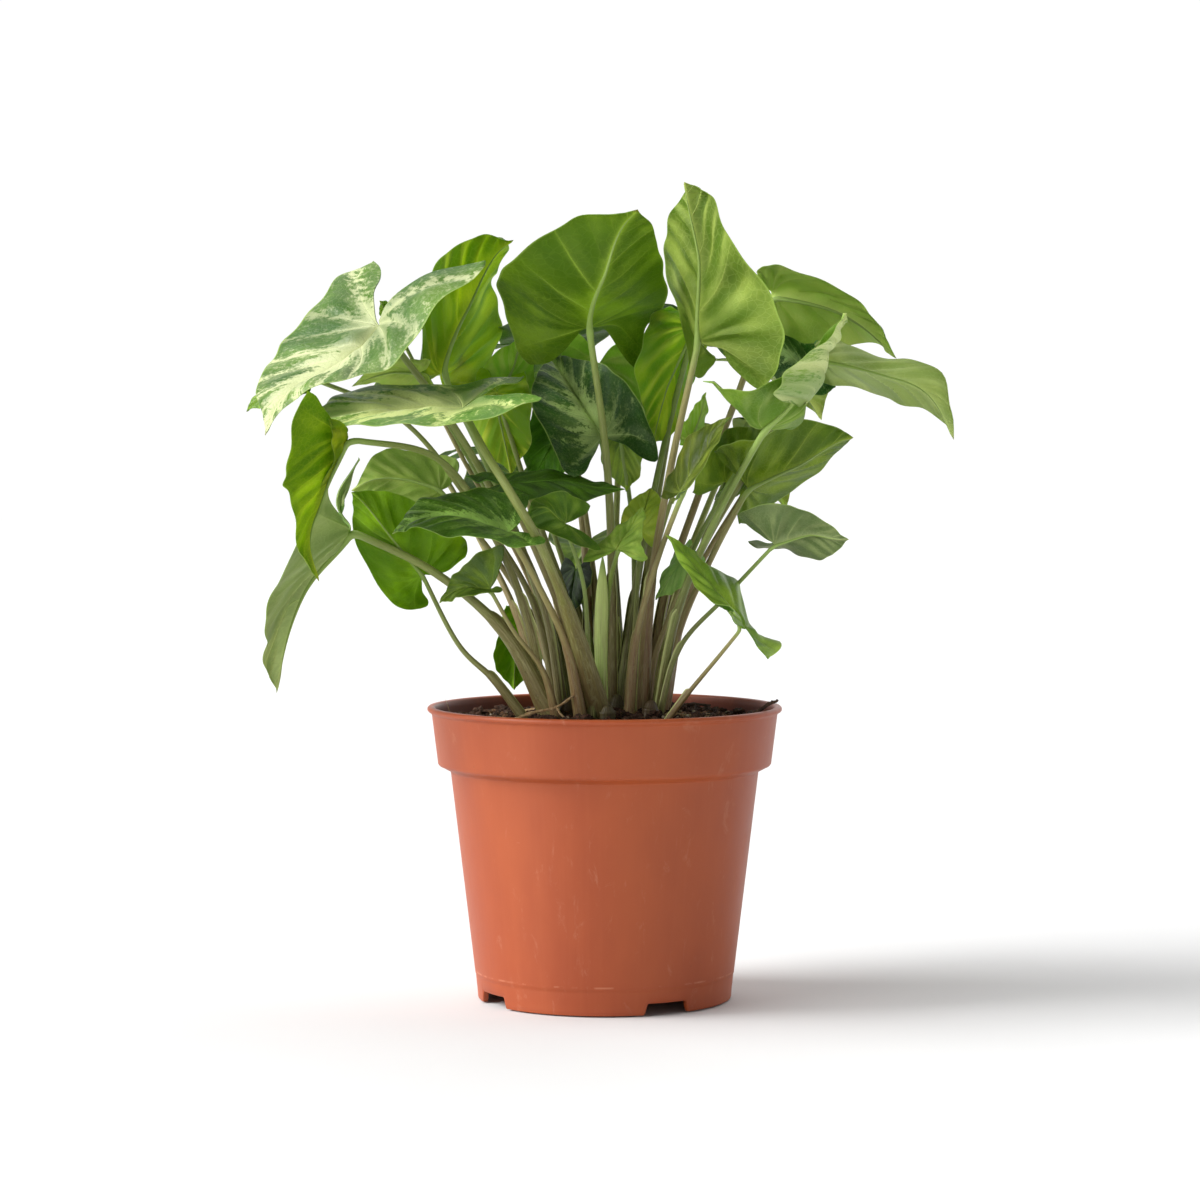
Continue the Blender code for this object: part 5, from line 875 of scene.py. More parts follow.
def sheath_mesh(path, t, u, w, ra, rb, top, ear, rng):
    """The petiole's sheathing base: an open gutter round its outer side, whose wings stand up and end in small ears."""
    arc = np.r_[0, np.cumsum(np.linalg.norm(np.diff(path, axis=0), axis=1))]
    n, m = 34, 18
    s = np.linspace(0.0, top, n)
    P = np.stack([np.interp(s, arc, path[:, c]) for c in range(3)], -1)
    U = np.stack([np.interp(s, arc, u[:, c]) for c in range(3)], -1)
    W = np.stack([np.interp(s, arc, w[:, c]) for c in range(3)], -1)
    A, B = np.interp(s, arc, ra), np.interp(s, arc, rb)
    q = s / top
    lift = ear * np.interp(q, [0, 0.35, 0.75, 0.93, 0.975, 1.0], [0.15, 0.55, 0.9, 1.25, 0.55, -0.2])
    reach = np.radians(np.interp(q, [0, 0.3, 0.8, 0.95, 1.0], [112, 124, 132, 140, 118]))
    body = np.interp(q, [0, 0.9, 1.0], [0.16, 0.10, -0.12])
    verts, tp, edge = [], [], []
    for layer in (0, 1):
        for k in range(n):
            side = rng.uniform(-0.02, 0.02)
            for j in range(m + 1):
                v = -1 + 2 * j / m
                phi = v * reach[k] + side
                h = body[k] + lift[k] * max(0.0, (abs(v) - 0.62) / 0.38) ** 1.5
                thick = 0.34 * (1 - 0.65 * abs(v) ** 3)
                h -= thick * layer
                d = -math.cos(phi) * W[k] * (B[k] + h) + math.sin(phi) * U[k] * (A[k] + h)
                verts.append(P[k] + d)
                tp.append(((phi / (2 * math.pi)) % 1.0, 0.35 * q[k], s[k]))
                edge.append(abs(v) if k > 2 else abs(v) * 0.9)
    faces = []
    row = m + 1
    half = n * row
    for k in range(n - 1):
        for j in range(m):
            a = k * row + j
            faces.append((a, a + 1, a + row + 1, a + row))
            faces.append((a + half, a + row + half, a + row + 1 + half, a + 1 + half))
    ring = [j for j in range(m + 1)] + [k * row + m for k in range(1, n)] + [(n - 1) * row + j for j in range(m - 1, -1, -1)] + \
           [k * row for k in range(n - 2, 0, -1)]
    for a, b in zip(ring, ring[1:] + ring[:1]):
        faces.append((b, a, a + half, b + half))
    return np.array(verts), faces, np.array(tp), np.array(edge)


def tube_mesh(path, ra, rb, sides, axis=None, phase=0.0, carry=False):
    """Closed bar of oval rings (half axes ra, rb; ra lies along axis where given)."""
    path = np.asarray(path, float)
    n = len(path)
    t = np.gradient(path, axis=0)
    t /= np.linalg.norm(t, axis=1)[:, None]
    u = np.zeros_like(path)
    prev = None
    for k in range(n):
        if axis is not None and (prev is None or not carry):
            v = np.asarray(axis, float) - t[k] * (np.asarray(axis, float) @ t[k])
        elif prev is None:
            v = np.cross(t[k], (0.31, 0.95, 0.05))
        else:
            v = prev - t[k] * (prev @ t[k])
        v /= np.linalg.norm(v)
        u[k] = v
        prev = v
    w = np.cross(t, u)
    FRAMES[:] = [t, u, w]
    a = 2 * np.pi * np.arange(sides) / sides + phase
    ra = np.broadcast_to(ra, n)[:, None, None]
    rb = np.broadcast_to(rb, n)[:, None, None]
    P = path[:, None] + ra * np.cos(a)[None, :, None] * u[:, None] + rb * np.sin(a)[None, :, None] * w[:, None]
    V = P.reshape(-1, 3)
    faces = []
    for k in range(n - 1):
        for j in range(sides):
            faces.append((k * sides + j, k * sides + (j + 1) % sides, (k + 1) * sides + (j + 1) % sides, (k + 1) * sides + j))
    c0, c1 = len(V), len(V) + 1
    V = np.vstack([V, path[0], path[-1]])
    for j in range(sides):
        faces.append((c0, (j + 1) % sides, j))
        faces.append((c1, (n - 1) * sides + j, (n - 1) * sides + (j + 1) % sides))
    length = np.r_[0, np.cumsum(np.linalg.norm(np.diff(path, axis=0), axis=1))]
    turn = np.tile(np.arange(sides) / sides, n)
    along = np.repeat(length / length[-1], sides)
    mm = np.repeat(length, sides)
    tpl = np.c_[np.r_[turn, 0, 0], np.r_[along, 0, 1], np.r_[mm, 0, length[-1]]]
    return V, faces, tpl


# ------------------------------------------------------------------ leaves
def build_leaf(n, leaf):
    flat, space, length, up = leaf_marks(leaf)
    bend = plate_spline(flat, space)
    top, under, wave, through, quilt, roll = LOOKS[leaf.name]
    tone = TONE.get(leaf.name, (1.0, 1.0, 1.0))
    blunt = BLUNT.get(leaf.name, 0.0)
    rng = np.random.default_rng(500 + n)
    if length <= 22 or int(leaf.name[-2:]) > 38:
        n_mid, n_lobe, m = 28, 12, 15
    elif length <= 34 or leaf.name in SET_BACK:
        n_mid, n_lobe, m = 34, 15, 18
    else:
        n_mid, n_lobe, m = 42, 20, 22
    rows = n_mid + n_lobe
    inner = np.vstack([np.c_[np.zeros(n_mid + 1), 1 - np.linspace(0, 1, n_mid + 1)], chain(SINUS_EDGE, n_lobe + 1)[1:]])
    shares = np.r_[np.linspace(0, 1, n_mid + 1) ** 0.9 * OUTER_SHARE,
                   OUTER_SHARE + (1 - OUTER_SHARE) * np.linspace(0, 1, n_lobe + 1)[1:]]
    outer = chain(OUTER_EDGE, shares)
    tj = np.linspace(0, 1, m + 1) ** 1.1
    index = {}
    T, E, R = [], [], []
    for sign in (1, -1):
        ph = rng.uniform(0, 2 * math.pi, 4)
        for i in range(rows + 1):
            # the margin wanders a little in and out
            u = shares[i]
            wander = 1 + 0.016 * math.sin(2 * math.pi * 3.1 * u + ph[0]) + 0.010 * math.sin(2 * math.pi * 6.3 * u + ph[1])
            for j in range(m + 1):
                key = ("tip",) if i == 0 else ("rib", i) if (j == 0 and i <= n_mid) else \
                    ("lobe", sign) if i == rows else (sign, i, j)
                if key in index:
                    continue
                index[key] = len(T)
                g = inner[i] * (1 - tj[j]) + outer[i] * tj[j]
                k = 1 + (wander - 1) * tj[j] ** 2
                wide = 1 + blunt * math.exp(-((g[1] - 0.84) / 0.12) ** 2)
                T.append((sign * g[0] * k * wide, g[1] * (1 + (k - 1) * 0.5)))
                E.append(tj[j] if i > 0 else 1.0)
                ripple = tj[j] ** 2.2 * (math.sin(2 * math.pi * 2.6 * u + ph[2]) + 0.45 * math.sin(2 * math.pi * 5.7 * u + ph[3]))
                R.append(ripple * min(1.0, i / 6.0) * min(1.0, (rows - i) / 5.0))
    T, E, R = np.array(T), np.array(E), np.array(R)
    quads = []
    for sign in (1, -1):
        def at(i, j):
            return index[("tip",) if i == 0 else ("rib", i) if (j == 0 and i <= n_mid) else
                         ("lobe", sign) if i == rows else (sign, i, j)]
        for i in range(rows):
            for j in range(m):
                q = [at(i, j), at(i + 1, j), at(i + 1, j + 1), at(i, j + 1)]
                quads.append(q if sign == 1 else q[::-1])
    quads = [q for q in quads if len(set(q)) >= 3]
    full = np.array([q for q in quads if len(set(q)) == 4])
    V = bend(T)
    N = point_normals(V, full)
    for i in np.where(np.linalg.norm(N, axis=1) < 0.5)[0]:
        N[i] = up
    x, y = T[:, 0], T[:, 1]
    d, s = vein_fields(x, y)
    dm = np.abs(x) + 0.9 * np.maximum(-y, 0)
    pucker = (1 - np.exp(-(d / 0.032) ** 2)) * (1 - np.exp(-(dm / 0.05) ** 2)) * (1 - E ** 4)
    groove = np.exp(-(dm / 0.022) ** 2)
    h = 0.017 * length * quilt * pucker - 0.013 * length * groove + wave * R
    # broad, slow undulation of the whole blade
    for _ in range(5):
        a_, f_ = rng.uniform(0, 2 * math.pi), rng.uniform(3.0, 7.5)
        h += 0.0095 * length * quilt * np.sin(f_ * (x * math.cos(a_) + y * math.sin(a_)) + rng.uniform(0, 6.28)) * (1 - groove)
    # quilting: small swellings between the net of veins
    for _ in range(6):
        a_, f_ = rng.uniform(0, 2 * math.pi), rng.uniform(14.0, 26.0)
        h += 0.0048 * length * quilt * np.sin(f_ * (x * math.cos(a_) + y * math.sin(a_)) + rng.uniform(0, 6.28)) * pucker
    h += roll * E ** 4 * np.interp(y, [-0.5, 0.1, 0.8, 1.0], [0.3, 1.0, 1.0, 0.2])
    V = V + N * h[:, None]
    N = point_normals(V, full)
    for i in np.where(np.linalg.norm(N, axis=1) < 0.5)[0]:
        N[i] = up
    th = 0.40 * (1 - 0.7 * E ** 5)
    top_v, bot_v = V + N * th[:, None] / 2, V - N * th[:, None] / 2
    count = len(V)
    faces = []
    fmat = []
    for q in quads:
        u = []
        for v in q:
            if v not in u:
                u.append(v)
        faces.append(u)
        faces.append([v + count for v in u[::-1]])
    edges = {}
    for q in quads:
        u = []
        for v in q:
            if v not in u:
                u.append(v)
        for a, b in zip(u, u[1:] + u[:1]):
            edges[(a, b)] = True
    for (a, b) in edges:
        if (b, a) not in edges:
            faces.append([b, a, a + count, b + count])
    verts = np.vstack([top_v, bot_v])
    tpl = np.vstack([np.c_[x, y, np.ones(count)], np.c_[x, y, np.zeros(count)]])
    edge = np.r_[E, E]
    # bake layout: top in the left half, underside in the right half
    bu = np.c_[(x + 0.58) / 1.16, (y + 0.53) / 1.6]
    uv = np.vstack([np.c_[bu[:, 0] * 0.40 + 0.005, bu[:, 1] * 0.985 + 0.005], np.c_[bu[:, 0] * 0.40 + 0.425, bu[:, 1] * 0.985 + 0.005]])
    fmat = [0] * len(faces)

    # petiole: oval and wide at its sheathing foot, round above, running out under the midrib
    r_top, r_foot = 0.52 + 0.0100 * length, 0.80 + 0.0155 * length
    fx, fy = FOOT.get(leaf.name, leaf.foot)
    hub_at = space[0]
    slim = SLIM.get(leaf.name, 1.0)
    r_top, r_foot = r_top * slim, r_foot * slim
    base = chain([(fx, fy, soil_z(fx, fy) - 2.5)] + list(BENDS.get(leaf.name, leaf.stalk)) + [tuple(hub_at)], 66)
    n_rib = 38
    rib_t = np.linspace(0.0, 0.95, n_rib)
    rib = bend(np.c_[np.zeros(n_rib), rib_t])
    rn = np.zeros((n_rib, 3))
    for k in range(n_rib):
        j = int(np.argmin(np.abs(x) * 3 + np.abs(y - rib_t[k])))
        rn[k] = N[j]
        rib[k] = V[j] + (rib[k] - bend(T[j])[0])
    off = r_top * np.interp(rib_t, [0, 0.1, 0.5, 0.95], [0.80, 0.62, 0.40, 0.10])
    under_rib = rib - rn * off[:, None]
    shift = under_rib[0] - base[-1]
    arc = np.r_[0, np.cumsum(np.linalg.norm(np.diff(base, axis=0), axis=1))]
    frac = arc / arc[-1]
    base = base + shift * (np.clip((frac - 0.6) / 0.4, 0, 1) ** 2)[:, None]
    sheath = SHEATH.get(leaf.name, 0.55)
    run = min(SHEATH_RUN, 0.55 * arc[-1])
    swell = sheath * np.clip(1 - arc / run, 0, 1) ** 1.25
    r = r_foot + (r_top - r_foot) * frac ** 0.85
    wide, thick = r * (1 + 0.85 * swell), r * (1 + 0.38 * swell)
    rr = r_top * (1.02 - 0.94 * (rib_t / 0.95) ** 0.75)
    path = np.vstack([base[:-1], under_rib])
    ra = np.r_[wide[:-1], rr * 1.0]
    rb = np.r_[thick[:-1], rr * 0.9]
    # round the bend at the hub
    gap = np.linalg.norm(path - under_rib[0], axis=1)
    soft = (gap < 3.0 * r_top)
    for _ in range(6):
        mean = path.copy()
        mean[1:-1] = (path[:-2] + 2 * path[1:-1] + path[2:]) / 4
        path[soft] = mean[soft]
    ra = ra * (1 + 0.20 * np.exp(-(gap / (2.2 * r_top)) ** 2))
    rb = rb * (1 + 0.20 * np.exp(-(gap / (2.2 * r_top)) ** 2))
    radial = np.array([fx, fy, 0.0]) + 1e-3
    axis = np.cross((0, 0, 1.0), radial)
    axis = axis / np.linalg.norm(axis) if np.linalg.norm(radial) > 2 else np.array([1.0, 0, 0])
    turn_ = rng.uniform(-0.5, 0.5)
    axis = np.array([axis[0] * math.cos(turn_) - axis[1] * math.sin(turn_), axis[0] * math.sin(turn_) + axis[1] * math.cos(turn_), 0.15])
    PV, PF, PT = tube_mesh(path, ra, rb, 16, axis=axis, carry=True)
    frames = list(FRAMES)
    share = np.clip(PT[:, 2] / arc[-1], 0, 1)
    PT[:, 1] = share
    o1 = len(verts)
    allv = np.vstack([verts, PV])
    faces += [[v + o1 for v in f] for f in PF]
    fmat += [1] * len(PF)
    ptpl = np.vstack([tpl, PT])
    edge = np.r_[edge, np.zeros(len(PV))]
    puv = np.c_[0.845 + 0.11 * PT[:, 0], 0.01 + 0.97 * PT[:, 2] / PT[:, 2].max()]
    uv = np.vstack([uv, puv])
    if length > 20:
        SV, SF, ST, SE = sheath_mesh(path, *frames, ra, rb, run * rng.uniform(0.62, 0.90), 0.30 + 0.009 * length, rng)
        o2 = len(allv)
        allv = np.vstack([allv, SV])
        faces += [[v + o2 for v in f] for f in SF]
        fmat += [1] * len(SF)
        ptpl = np.vstack([ptpl, ST])
        edge = np.r_[edge, SE]
        uv = np.vstack([uv, np.c_[0.965 + 0.03 * ST[:, 0], 0.01 + 0.97 * ST[:, 2] / max(ST[:, 2].max(), 1e-6)]])
    turned, both = leaf.name in TOP_FIRST, leaf.name in BOTH_FACES
    mat = blade_material("blade_" + leaf.name, top, under, 1.0 + 0.61 * n, through, tone, 0.75 if leaf.name in ("leaf_14", "leaf_34") else 0.30,
                         1.0, (turned or both, both or not turned))
    obj = mesh_object(leaf.name + "_live", allv * MM, faces, [mat, STALKS[SKIN.get(leaf.name, n % len(STALKS))]], fmat,
                      {"tpl": ("FLOAT_VECTOR", ptpl), "edge": ("FLOAT", edge)}, uv)
    obj.data.set_sharp_from_angle(angle=math.radians(60))
    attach(obj, "root")
    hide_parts(leaf.name)
    return obj


SHEATH_RUN = 62.0           # mm over which the sheathing foot narrows
# how much each petiole's sheathing foot widens
SHEATH = {"leaf_01": 0.45, "leaf_03": 1.9, "leaf_05": 1.3, "leaf_07": 0.9, "leaf_12": 1.2, "leaf_08": 0.7, "leaf_10": 0.8,
          "leaf_15": 0.8, "leaf_16": 0.7, "leaf_14": 0.4, "leaf_21": 0.5, "leaf_23": 0.9, "leaf_25": 0.9, "leaf_29": 0.6,
          "leaf_30": 0.3, "leaf_13": 0.5, "leaf_02": 0.6}

STALKS = [
    stalk_material("stalk_a", srgb(116, 104, 58), srgb(130, 144, 68), 1, srgb(96, 76, 44)),
    stalk_material("stalk_b", srgb(110, 112, 54), srgb(124, 150, 64), 2, srgb(94, 80, 42)),
    stalk_material("stalk_c", srgb(128, 104, 64), srgb(148, 140, 84), 3, srgb(116, 82, 56)),
]

for n, leaf in enumerate(LEAVES):
    build_leaf(n, leaf)

# ------------------------------------------------------------------ rolled new leaf
spear_z = [(92, 1.9), (96.6, 2.0), (104, 2.1), (112, 2.15), (120, 2.25), (128, 2.3), (134, 2.2), (140, 1.8), (146, 1.0), (149.8, 0.25)]
zz = chain([(z, r) for z, r in spear_z], 90)
path = np.c_[-1.0 + 0.35 * np.sin(zz[:, 0] / 11.0), np.full(90, -15.0), zz[:, 0]]
V, F, TP = tube_mesh(path, zz[:, 1], zz[:, 1] * 0.86, 32, axis=(1, 0.2, 0))
# the blade is rolled round itself: its free edge runs up the front as a shallow step that turns slowly
mid = np.array([np.interp(V[:, 2], path[:, 2], path[:, 0]), np.full(len(V), -15.0), V[:, 2]]).T
out = V - mid
turn_at = 0.72 + 0.0022 * (V[:, 2] - 92)
step_ = np.mod(TP[:, 0] - turn_at, 1.0)
V = mid + out * (1.10 - 0.20 * step_ ** 0.7)[:, None]
spear_mat = stalk_material("spear_skin", srgb(150, 176, 82), srgb(186, 204, 116), 5)
spear = mesh_object("new_leaf_live", V * MM, F, [spear_mat], None, {"tpl": ("FLOAT_VECTOR", TP)}, np.c_[TP[:, 0] * 0.98 + 0.01, TP[:, 1] * 0.98 + 0.01])
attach(spear, "root")
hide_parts("new_leaf")

# ------------------------------------------------------------------ pot
POT_HEIGHT, RIM_RADIUS, LIP_HEIGHT = 99.0, 60.0, 1.6
COLLAR_TOP_RADIUS, COLLAR_BOTTOM_RADIUS, COLLAR_BOTTOM_Z = 58.5, 56.5, 79.5
BODY_TOP_RADIUS, BODY_TOP_Z, BASE_RADIUS, WALL = 52.1, 77.5, 43.0, 1.25
NOTCH_ANGLES = (29.0, 119.0, 209.0, 299.0)


def arc_points(cx, cz, r, a0, a1, n):
    return [(cx + r * math.cos(math.radians(a)), cz + r * math.sin(math.radians(a))) for a in np.linspace(a0, a1, n)]


def pot_profile():
    ring_in = BASE_RADIUS - 1.8
    p = [(0, 0.0), (6, 0.0), (11.6, 0.0), (12.2, 0.25), (13.4, 2.2), (14.8, 4.3), (15.6, 4.8), (28, 4.8), (ring_in - 0.9, 4.8),
         (ring_in - 0.2, 4.4), (ring_in, 3.6), (ring_in, 2.0), (ring_in, 0.35), (ring_in + 0.3, 0.0), (BASE_RADIUS - 0.5, 0.0),
         (BASE_RADIUS - 0.12, 0.14), (BASE_RADIUS + 0.02, 0.6), (BASE_RADIUS + 0.12, 2.0), (BASE_RADIUS + 0.25, 3.6),
         (BASE_RADIUS + 0.42, 4.8), (BASE_RADIUS + 0.66, 7.4), (BASE_RADIUS + 0.74, 8.3), (BASE_RADIUS + 0.90, 8.55), (BASE_RADIUS + 1.0, 9.2)]
    z0, r0 = 9.2, BASE_RADIUS + 1.0
    for t in np.linspace(0, 1, 12)[1:]:
        p.append((r0 + (BODY_TOP_RADIUS - r0) * t, z0 + (BODY_TOP_Z - 0.9 - z0) * t))
    p += [(BODY_TOP_RADIUS + 0.10, BODY_TOP_Z - 0.4), (BODY_TOP_RADIUS + 0.55, BODY_TOP_Z + 0.05), (BODY_TOP_RADIUS + 1.6, BODY_TOP_Z + 0.45),
          (COLLAR_BOTTOM_RADIUS - 1.3, COLLAR_BOTTOM_Z - 0.75), (COLLAR_BOTTOM_RADIUS - 0.45, COLLAR_BOTTOM_Z - 0.35),
          (COLLAR_BOTTOM_RADIUS - 0.08, COLLAR_BOTTOM_Z + 0.2), (COLLAR_BOTTOM_RADIUS + 0.02, COLLAR_BOTTOM_Z + 1.0)]
    for t in np.linspace(0, 1, 7)[1:]:
        p.append((COLLAR_BOTTOM_RADIUS + 0.02 + (COLLAR_TOP_RADIUS - 0.05 - COLLAR_BOTTOM_RADIUS) * t,
                  COLLAR_BOTTOM_Z + 1.0 + (POT_HEIGHT - LIP_HEIGHT - 1.3 - COLLAR_BOTTOM_Z - 1.0) * t))
    zl = POT_HEIGHT - LIP_HEIGHT
    p += [(COLLAR_TOP_RADIUS + 0.12, zl - 0.75), (COLLAR_TOP_RADIUS + 0.75, zl - 0.35), (RIM_RADIUS - 0.30, zl - 0.05),
          (RIM_RADIUS - 0.05, zl + 0.25), (RIM_RADIUS, zl + 0.7), (RIM_RADIUS - 0.12, POT_HEIGHT - 0.42), (RIM_RADIUS - 0.5, POT_HEIGHT - 0.10),
          (RIM_RADIUS - 1.0, POT_HEIGHT), (COLLAR_TOP_RADIUS - 0.3, POT_HEIGHT - 0.02), (COLLAR_TOP_RADIUS - 0.9, POT_HEIGHT - 0.25),
          (COLLAR_TOP_RADIUS - WALL, POT_HEIGHT - 0.9), (COLLAR_TOP_RADIUS - WALL - 0.08, POT_HEIGHT - 2.4), (57.0, 93.0), (56.3, 88.0),
          (COLLAR_BOTTOM_RADIUS - WALL, COLLAR_BOTTOM_Z + 1.2), (BODY_TOP_RADIUS - WALL + 0.6, BODY_TOP_Z + 0.9),
          (BODY_TOP_RADIUS - WALL, BODY_TOP_Z + 0.2), (49.0, 60.0), (46.0, 33.0), (42.7, 8.0), (42.3, 6.7), (41.4, 6.05), (28, 6.0),
          (15.2, 6.0), (14.2, 5.6), (12.4, 2.4), (11.6, 1.45), (10.8, WALL), (5, WALL), (0, WALL)]
    return p


def build_pot():
    seg = 480
    prof = pot_profile()
    a = 2 * np.pi * np.arange(seg) / seg
    cut = np.zeros(seg)
    for ang in NOTCH_ANGLES:
        d = np.abs((a - math.radians(ang) + np.pi) % (2 * np.pi) - np.pi) * BASE_RADIUS
        t = np.clip((8.5 - d) / 1.3, 0, 1)
        cut = np.maximum(cut, 3.8 * t * t * (3 - 2 * t))
    verts, rings = [], []
    for r, z in prof:
        if r == 0:
            rings.append([len(verts)])
            verts.append((0, 0, z))
            continue
        rings.append(list(range(len(verts), len(verts) + seg)))
        zz = np.full(seg, z)
        if r > 40.3 and z < 4.75:
            zz = cut + (z / 4.8) * (4.8 - cut)
        for j in range(seg):
            verts.append((r * math.sin(a[j]), -r * math.cos(a[j]), zz[j]))
    faces = []
    for p, q in zip(rings, rings[1:]):
        for j in range(seg):
            k = (j + 1) % seg
            if len(p) == 1:
                faces.append((p[0], q[j], q[k]))
            elif len(q) == 1:
                faces.append((p[j], p[k], q[0]))
            else:
                faces.append((p[j], p[k], q[k], q[j]))
    nb_mat = pot_material()
    obj = mesh_object("pot_live", np.array(verts) * MM, faces, [nb_mat], None)
    bm = bmesh.new()
    bm.from_mesh(obj.data)
    bmesh.ops.recalc_face_normals(bm, faces=bm.faces)
    bm.to_mesh(obj.data)
    bm.free()
    for ang in (45, 135, 225, 315):
        bm = bmesh.new()
        bmesh.ops.create_cone(bm, cap_ends=True, segments=48, radius1=0.004, radius2=0.004, depth=0.012)
        bmesh.ops.translate(bm, verts=bm.verts, vec=(0.028 * math.sin(math.radians(ang)), -0.028 * math.cos(math.radians(ang)), 0.0054))
        mesh = bpy.data.meshes.new("drain_cut")
        bm.to_mesh(mesh)
        bm.free()
        tool = bpy.data.objects.new("drain_cut", mesh)
        bpy.context.scene.collection.objects.link(tool)
        mod = obj.modifiers.new("drain", "BOOLEAN")
        mod.operation, mod.object, mod.solver = "DIFFERENCE", tool, "EXACT"
        bpy.context.view_layer.update()
        done = bpy.data.meshes.new_from_object(obj.evaluated_get(bpy.context.evaluated_depsgraph_get()))
        obj.modifiers.remove(mod)
        obj.data = done
        bpy.data.objects.remove(tool, do_unlink=True)
    obj.data.polygons.foreach_set("use_smooth", np.ones(len(obj.data.polygons), bool))
    obj.data.set_sharp_from_angle(angle=math.radians(48))
    if not obj.data.materials:
        obj.data.materials.append(nb_mat)
    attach(obj, "root")
    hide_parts("pot")
    return obj


def pot_material():
    mat = bpy.data.materials.new("terracotta_plastic")
    nb = Nodes(mat)
    geo = nb.new("ShaderNodeTexCoord").outputs["Object"]
    x, y, z = nb.xyz(geo)
    ang = nb.m("ARCTAN2", y, x)
    wrap = nb.comb(nb.m("MULTIPLY", nb.m("COSINE", ang), 1.0), nb.m("MULTIPLY", nb.m("SINE", ang), 1.0), nb.m("MULTIPLY", z, 9.0))
    cloud = nb.noise(wrap, 1.3, 4.0, 0.55)
    flow = nb.noise(nb.comb(nb.m("MULTIPLY", nb.m("COSINE", ang), 6.0), nb.m("MULTIPLY", nb.m("SINE", ang), 6.0), nb.m("MULTIPLY", z, 3.0)), 4.0, 3.0, 0.6)
    grain = nb.noise(geo, 900.0, 3.0, 0.6)
    orange = nb.noise(geo, 260.0, 2.0, 0.5)
    col = nb.mix(nb.step(cloud, 0.30, 0.72), POT_DEEP, POT_BASE)
    col = nb.mix(nb.m("MULTIPLY", nb.step(flow, 0.42, 0.78), 0.09), col, POT_PALE)
    # dust and thin scuffs
    dust = nb.noise(wrap, 9.0, 6.0, 0.72, 0.6)
    col = nb.mix(nb.m("MULTIPLY", nb.step(dust, 0.56, 0.74), 0.16), col, srgb(214, 164, 136))
    scuff = nb.noise(nb.comb(nb.m("MULTIPLY", nb.m("COSINE", ang), 1.0), nb.m("MULTIPLY", nb.m("SINE", ang), 1.0), nb.m("MULTIPLY", z, 220.0)), 3.2, 3.0, 0.6, 0.4)
    fleck = nb.noise(geo, 150.0, 4.0, 0.7)
    lines = nb.m("MULTIPLY", nb.step(scuff, 0.70, 0.76), nb.step(fleck, 0.52, 0.66))
    col = nb.mix(nb.m("MULTIPLY", lines, 0.17), col, srgb(226, 170, 140))
    # the faint worn line where the two parts of the mould met, low on the wall
    seam = nb.m("MULTIPLY", nb.step(nb.m("ABSOLUTE", nb.m("SUBTRACT", z, 0.0095)), 0.00010, 0.00045, 1.0, 0.0), nb.step(fleck, 0.46, 0.62))
    col = nb.mix(nb.m("MULTIPLY", seam, 0.26), col, srgb(220, 156, 122))
    # soil specks, thicker under the lip and at the foot
    vor = nb.voronoi(geo, 210.0)
    spots = nb.step(vor.outputs["Distance"], 0.05, 0.11, 1.0, 0.0)
    keep = nb.m("GREATER_THAN", nb.xyz(vor.outputs["Color"])[0], 0.965)
    near = nb.m("ADD", nb.step(z, 0.090, 0.0985, 0.15, 1.0), nb.step(z, 0.0, 0.012, 0.6, 0.0))
    speck = nb.m("MULTIPLY", nb.m("MULTIPLY", spots, keep), nb.m("MINIMUM", near, 1.0))
    col = nb.mix(nb.m("MULTIPLY", speck, 0.85), col, srgb(48, 30, 20))
    # the inside of the wall below the lip is darkened: partly a stain from wet soil, partly painted shade in the pot's
    # mouth
    rad = nb.m("SQRT", nb.m("ADD", nb.m("MULTIPLY", x, x), nb.m("MULTIPLY", y, y)))
    wall = nb.m("SUBTRACT", rad, nb.m("ADD", 0.0430, nb.m("MULTIPLY", z, 0.142)))
    inside = nb.m("MULTIPLY", nb.step(nb.m("SUBTRACT", 0.0580, rad), 0.0002, 0.0014), nb.step(z, 0.0885, 0.0945, 0.0, 1.0))
    stain_and_shade = nb.m("MULTIPLY", inside, nb.step(nb.m("ADD", z, nb.m("MULTIPLY", nb.m("SUBTRACT", dust, 0.5), 0.006)), 0.0960, 0.0990, 0.95, 0.55))
    col = nb.mix(stain_and_shade, col, srgb(70, 32, 22))
    h = nb.m("ADD", nb.m("MULTIPLY", orange, 0.5), nb.m("MULTIPLY", grain, 0.18))
    h = nb.m("ADD", h, nb.m("MULTIPLY", cloud, 1.5))
    normal = nb.bump(h, 0.30, 0.00012)
    rough = nb.m("ADD", nb.m("MULTIPLY", cloud, 0.14), 0.40)
    rough = nb.m("ADD", rough, nb.m("MULTIPLY", nb.step(dust, 0.5, 0.8), 0.16))
    p = nb.principled(col, rough, normal, spec=0.40)
    nb.out(p.outputs[0])
    return mat


POT_BASE = srgb(167, 79, 38)
POT_DEEP = srgb(152, 67, 31)
POT_PALE = srgb(178, 94, 56)
build_pot()


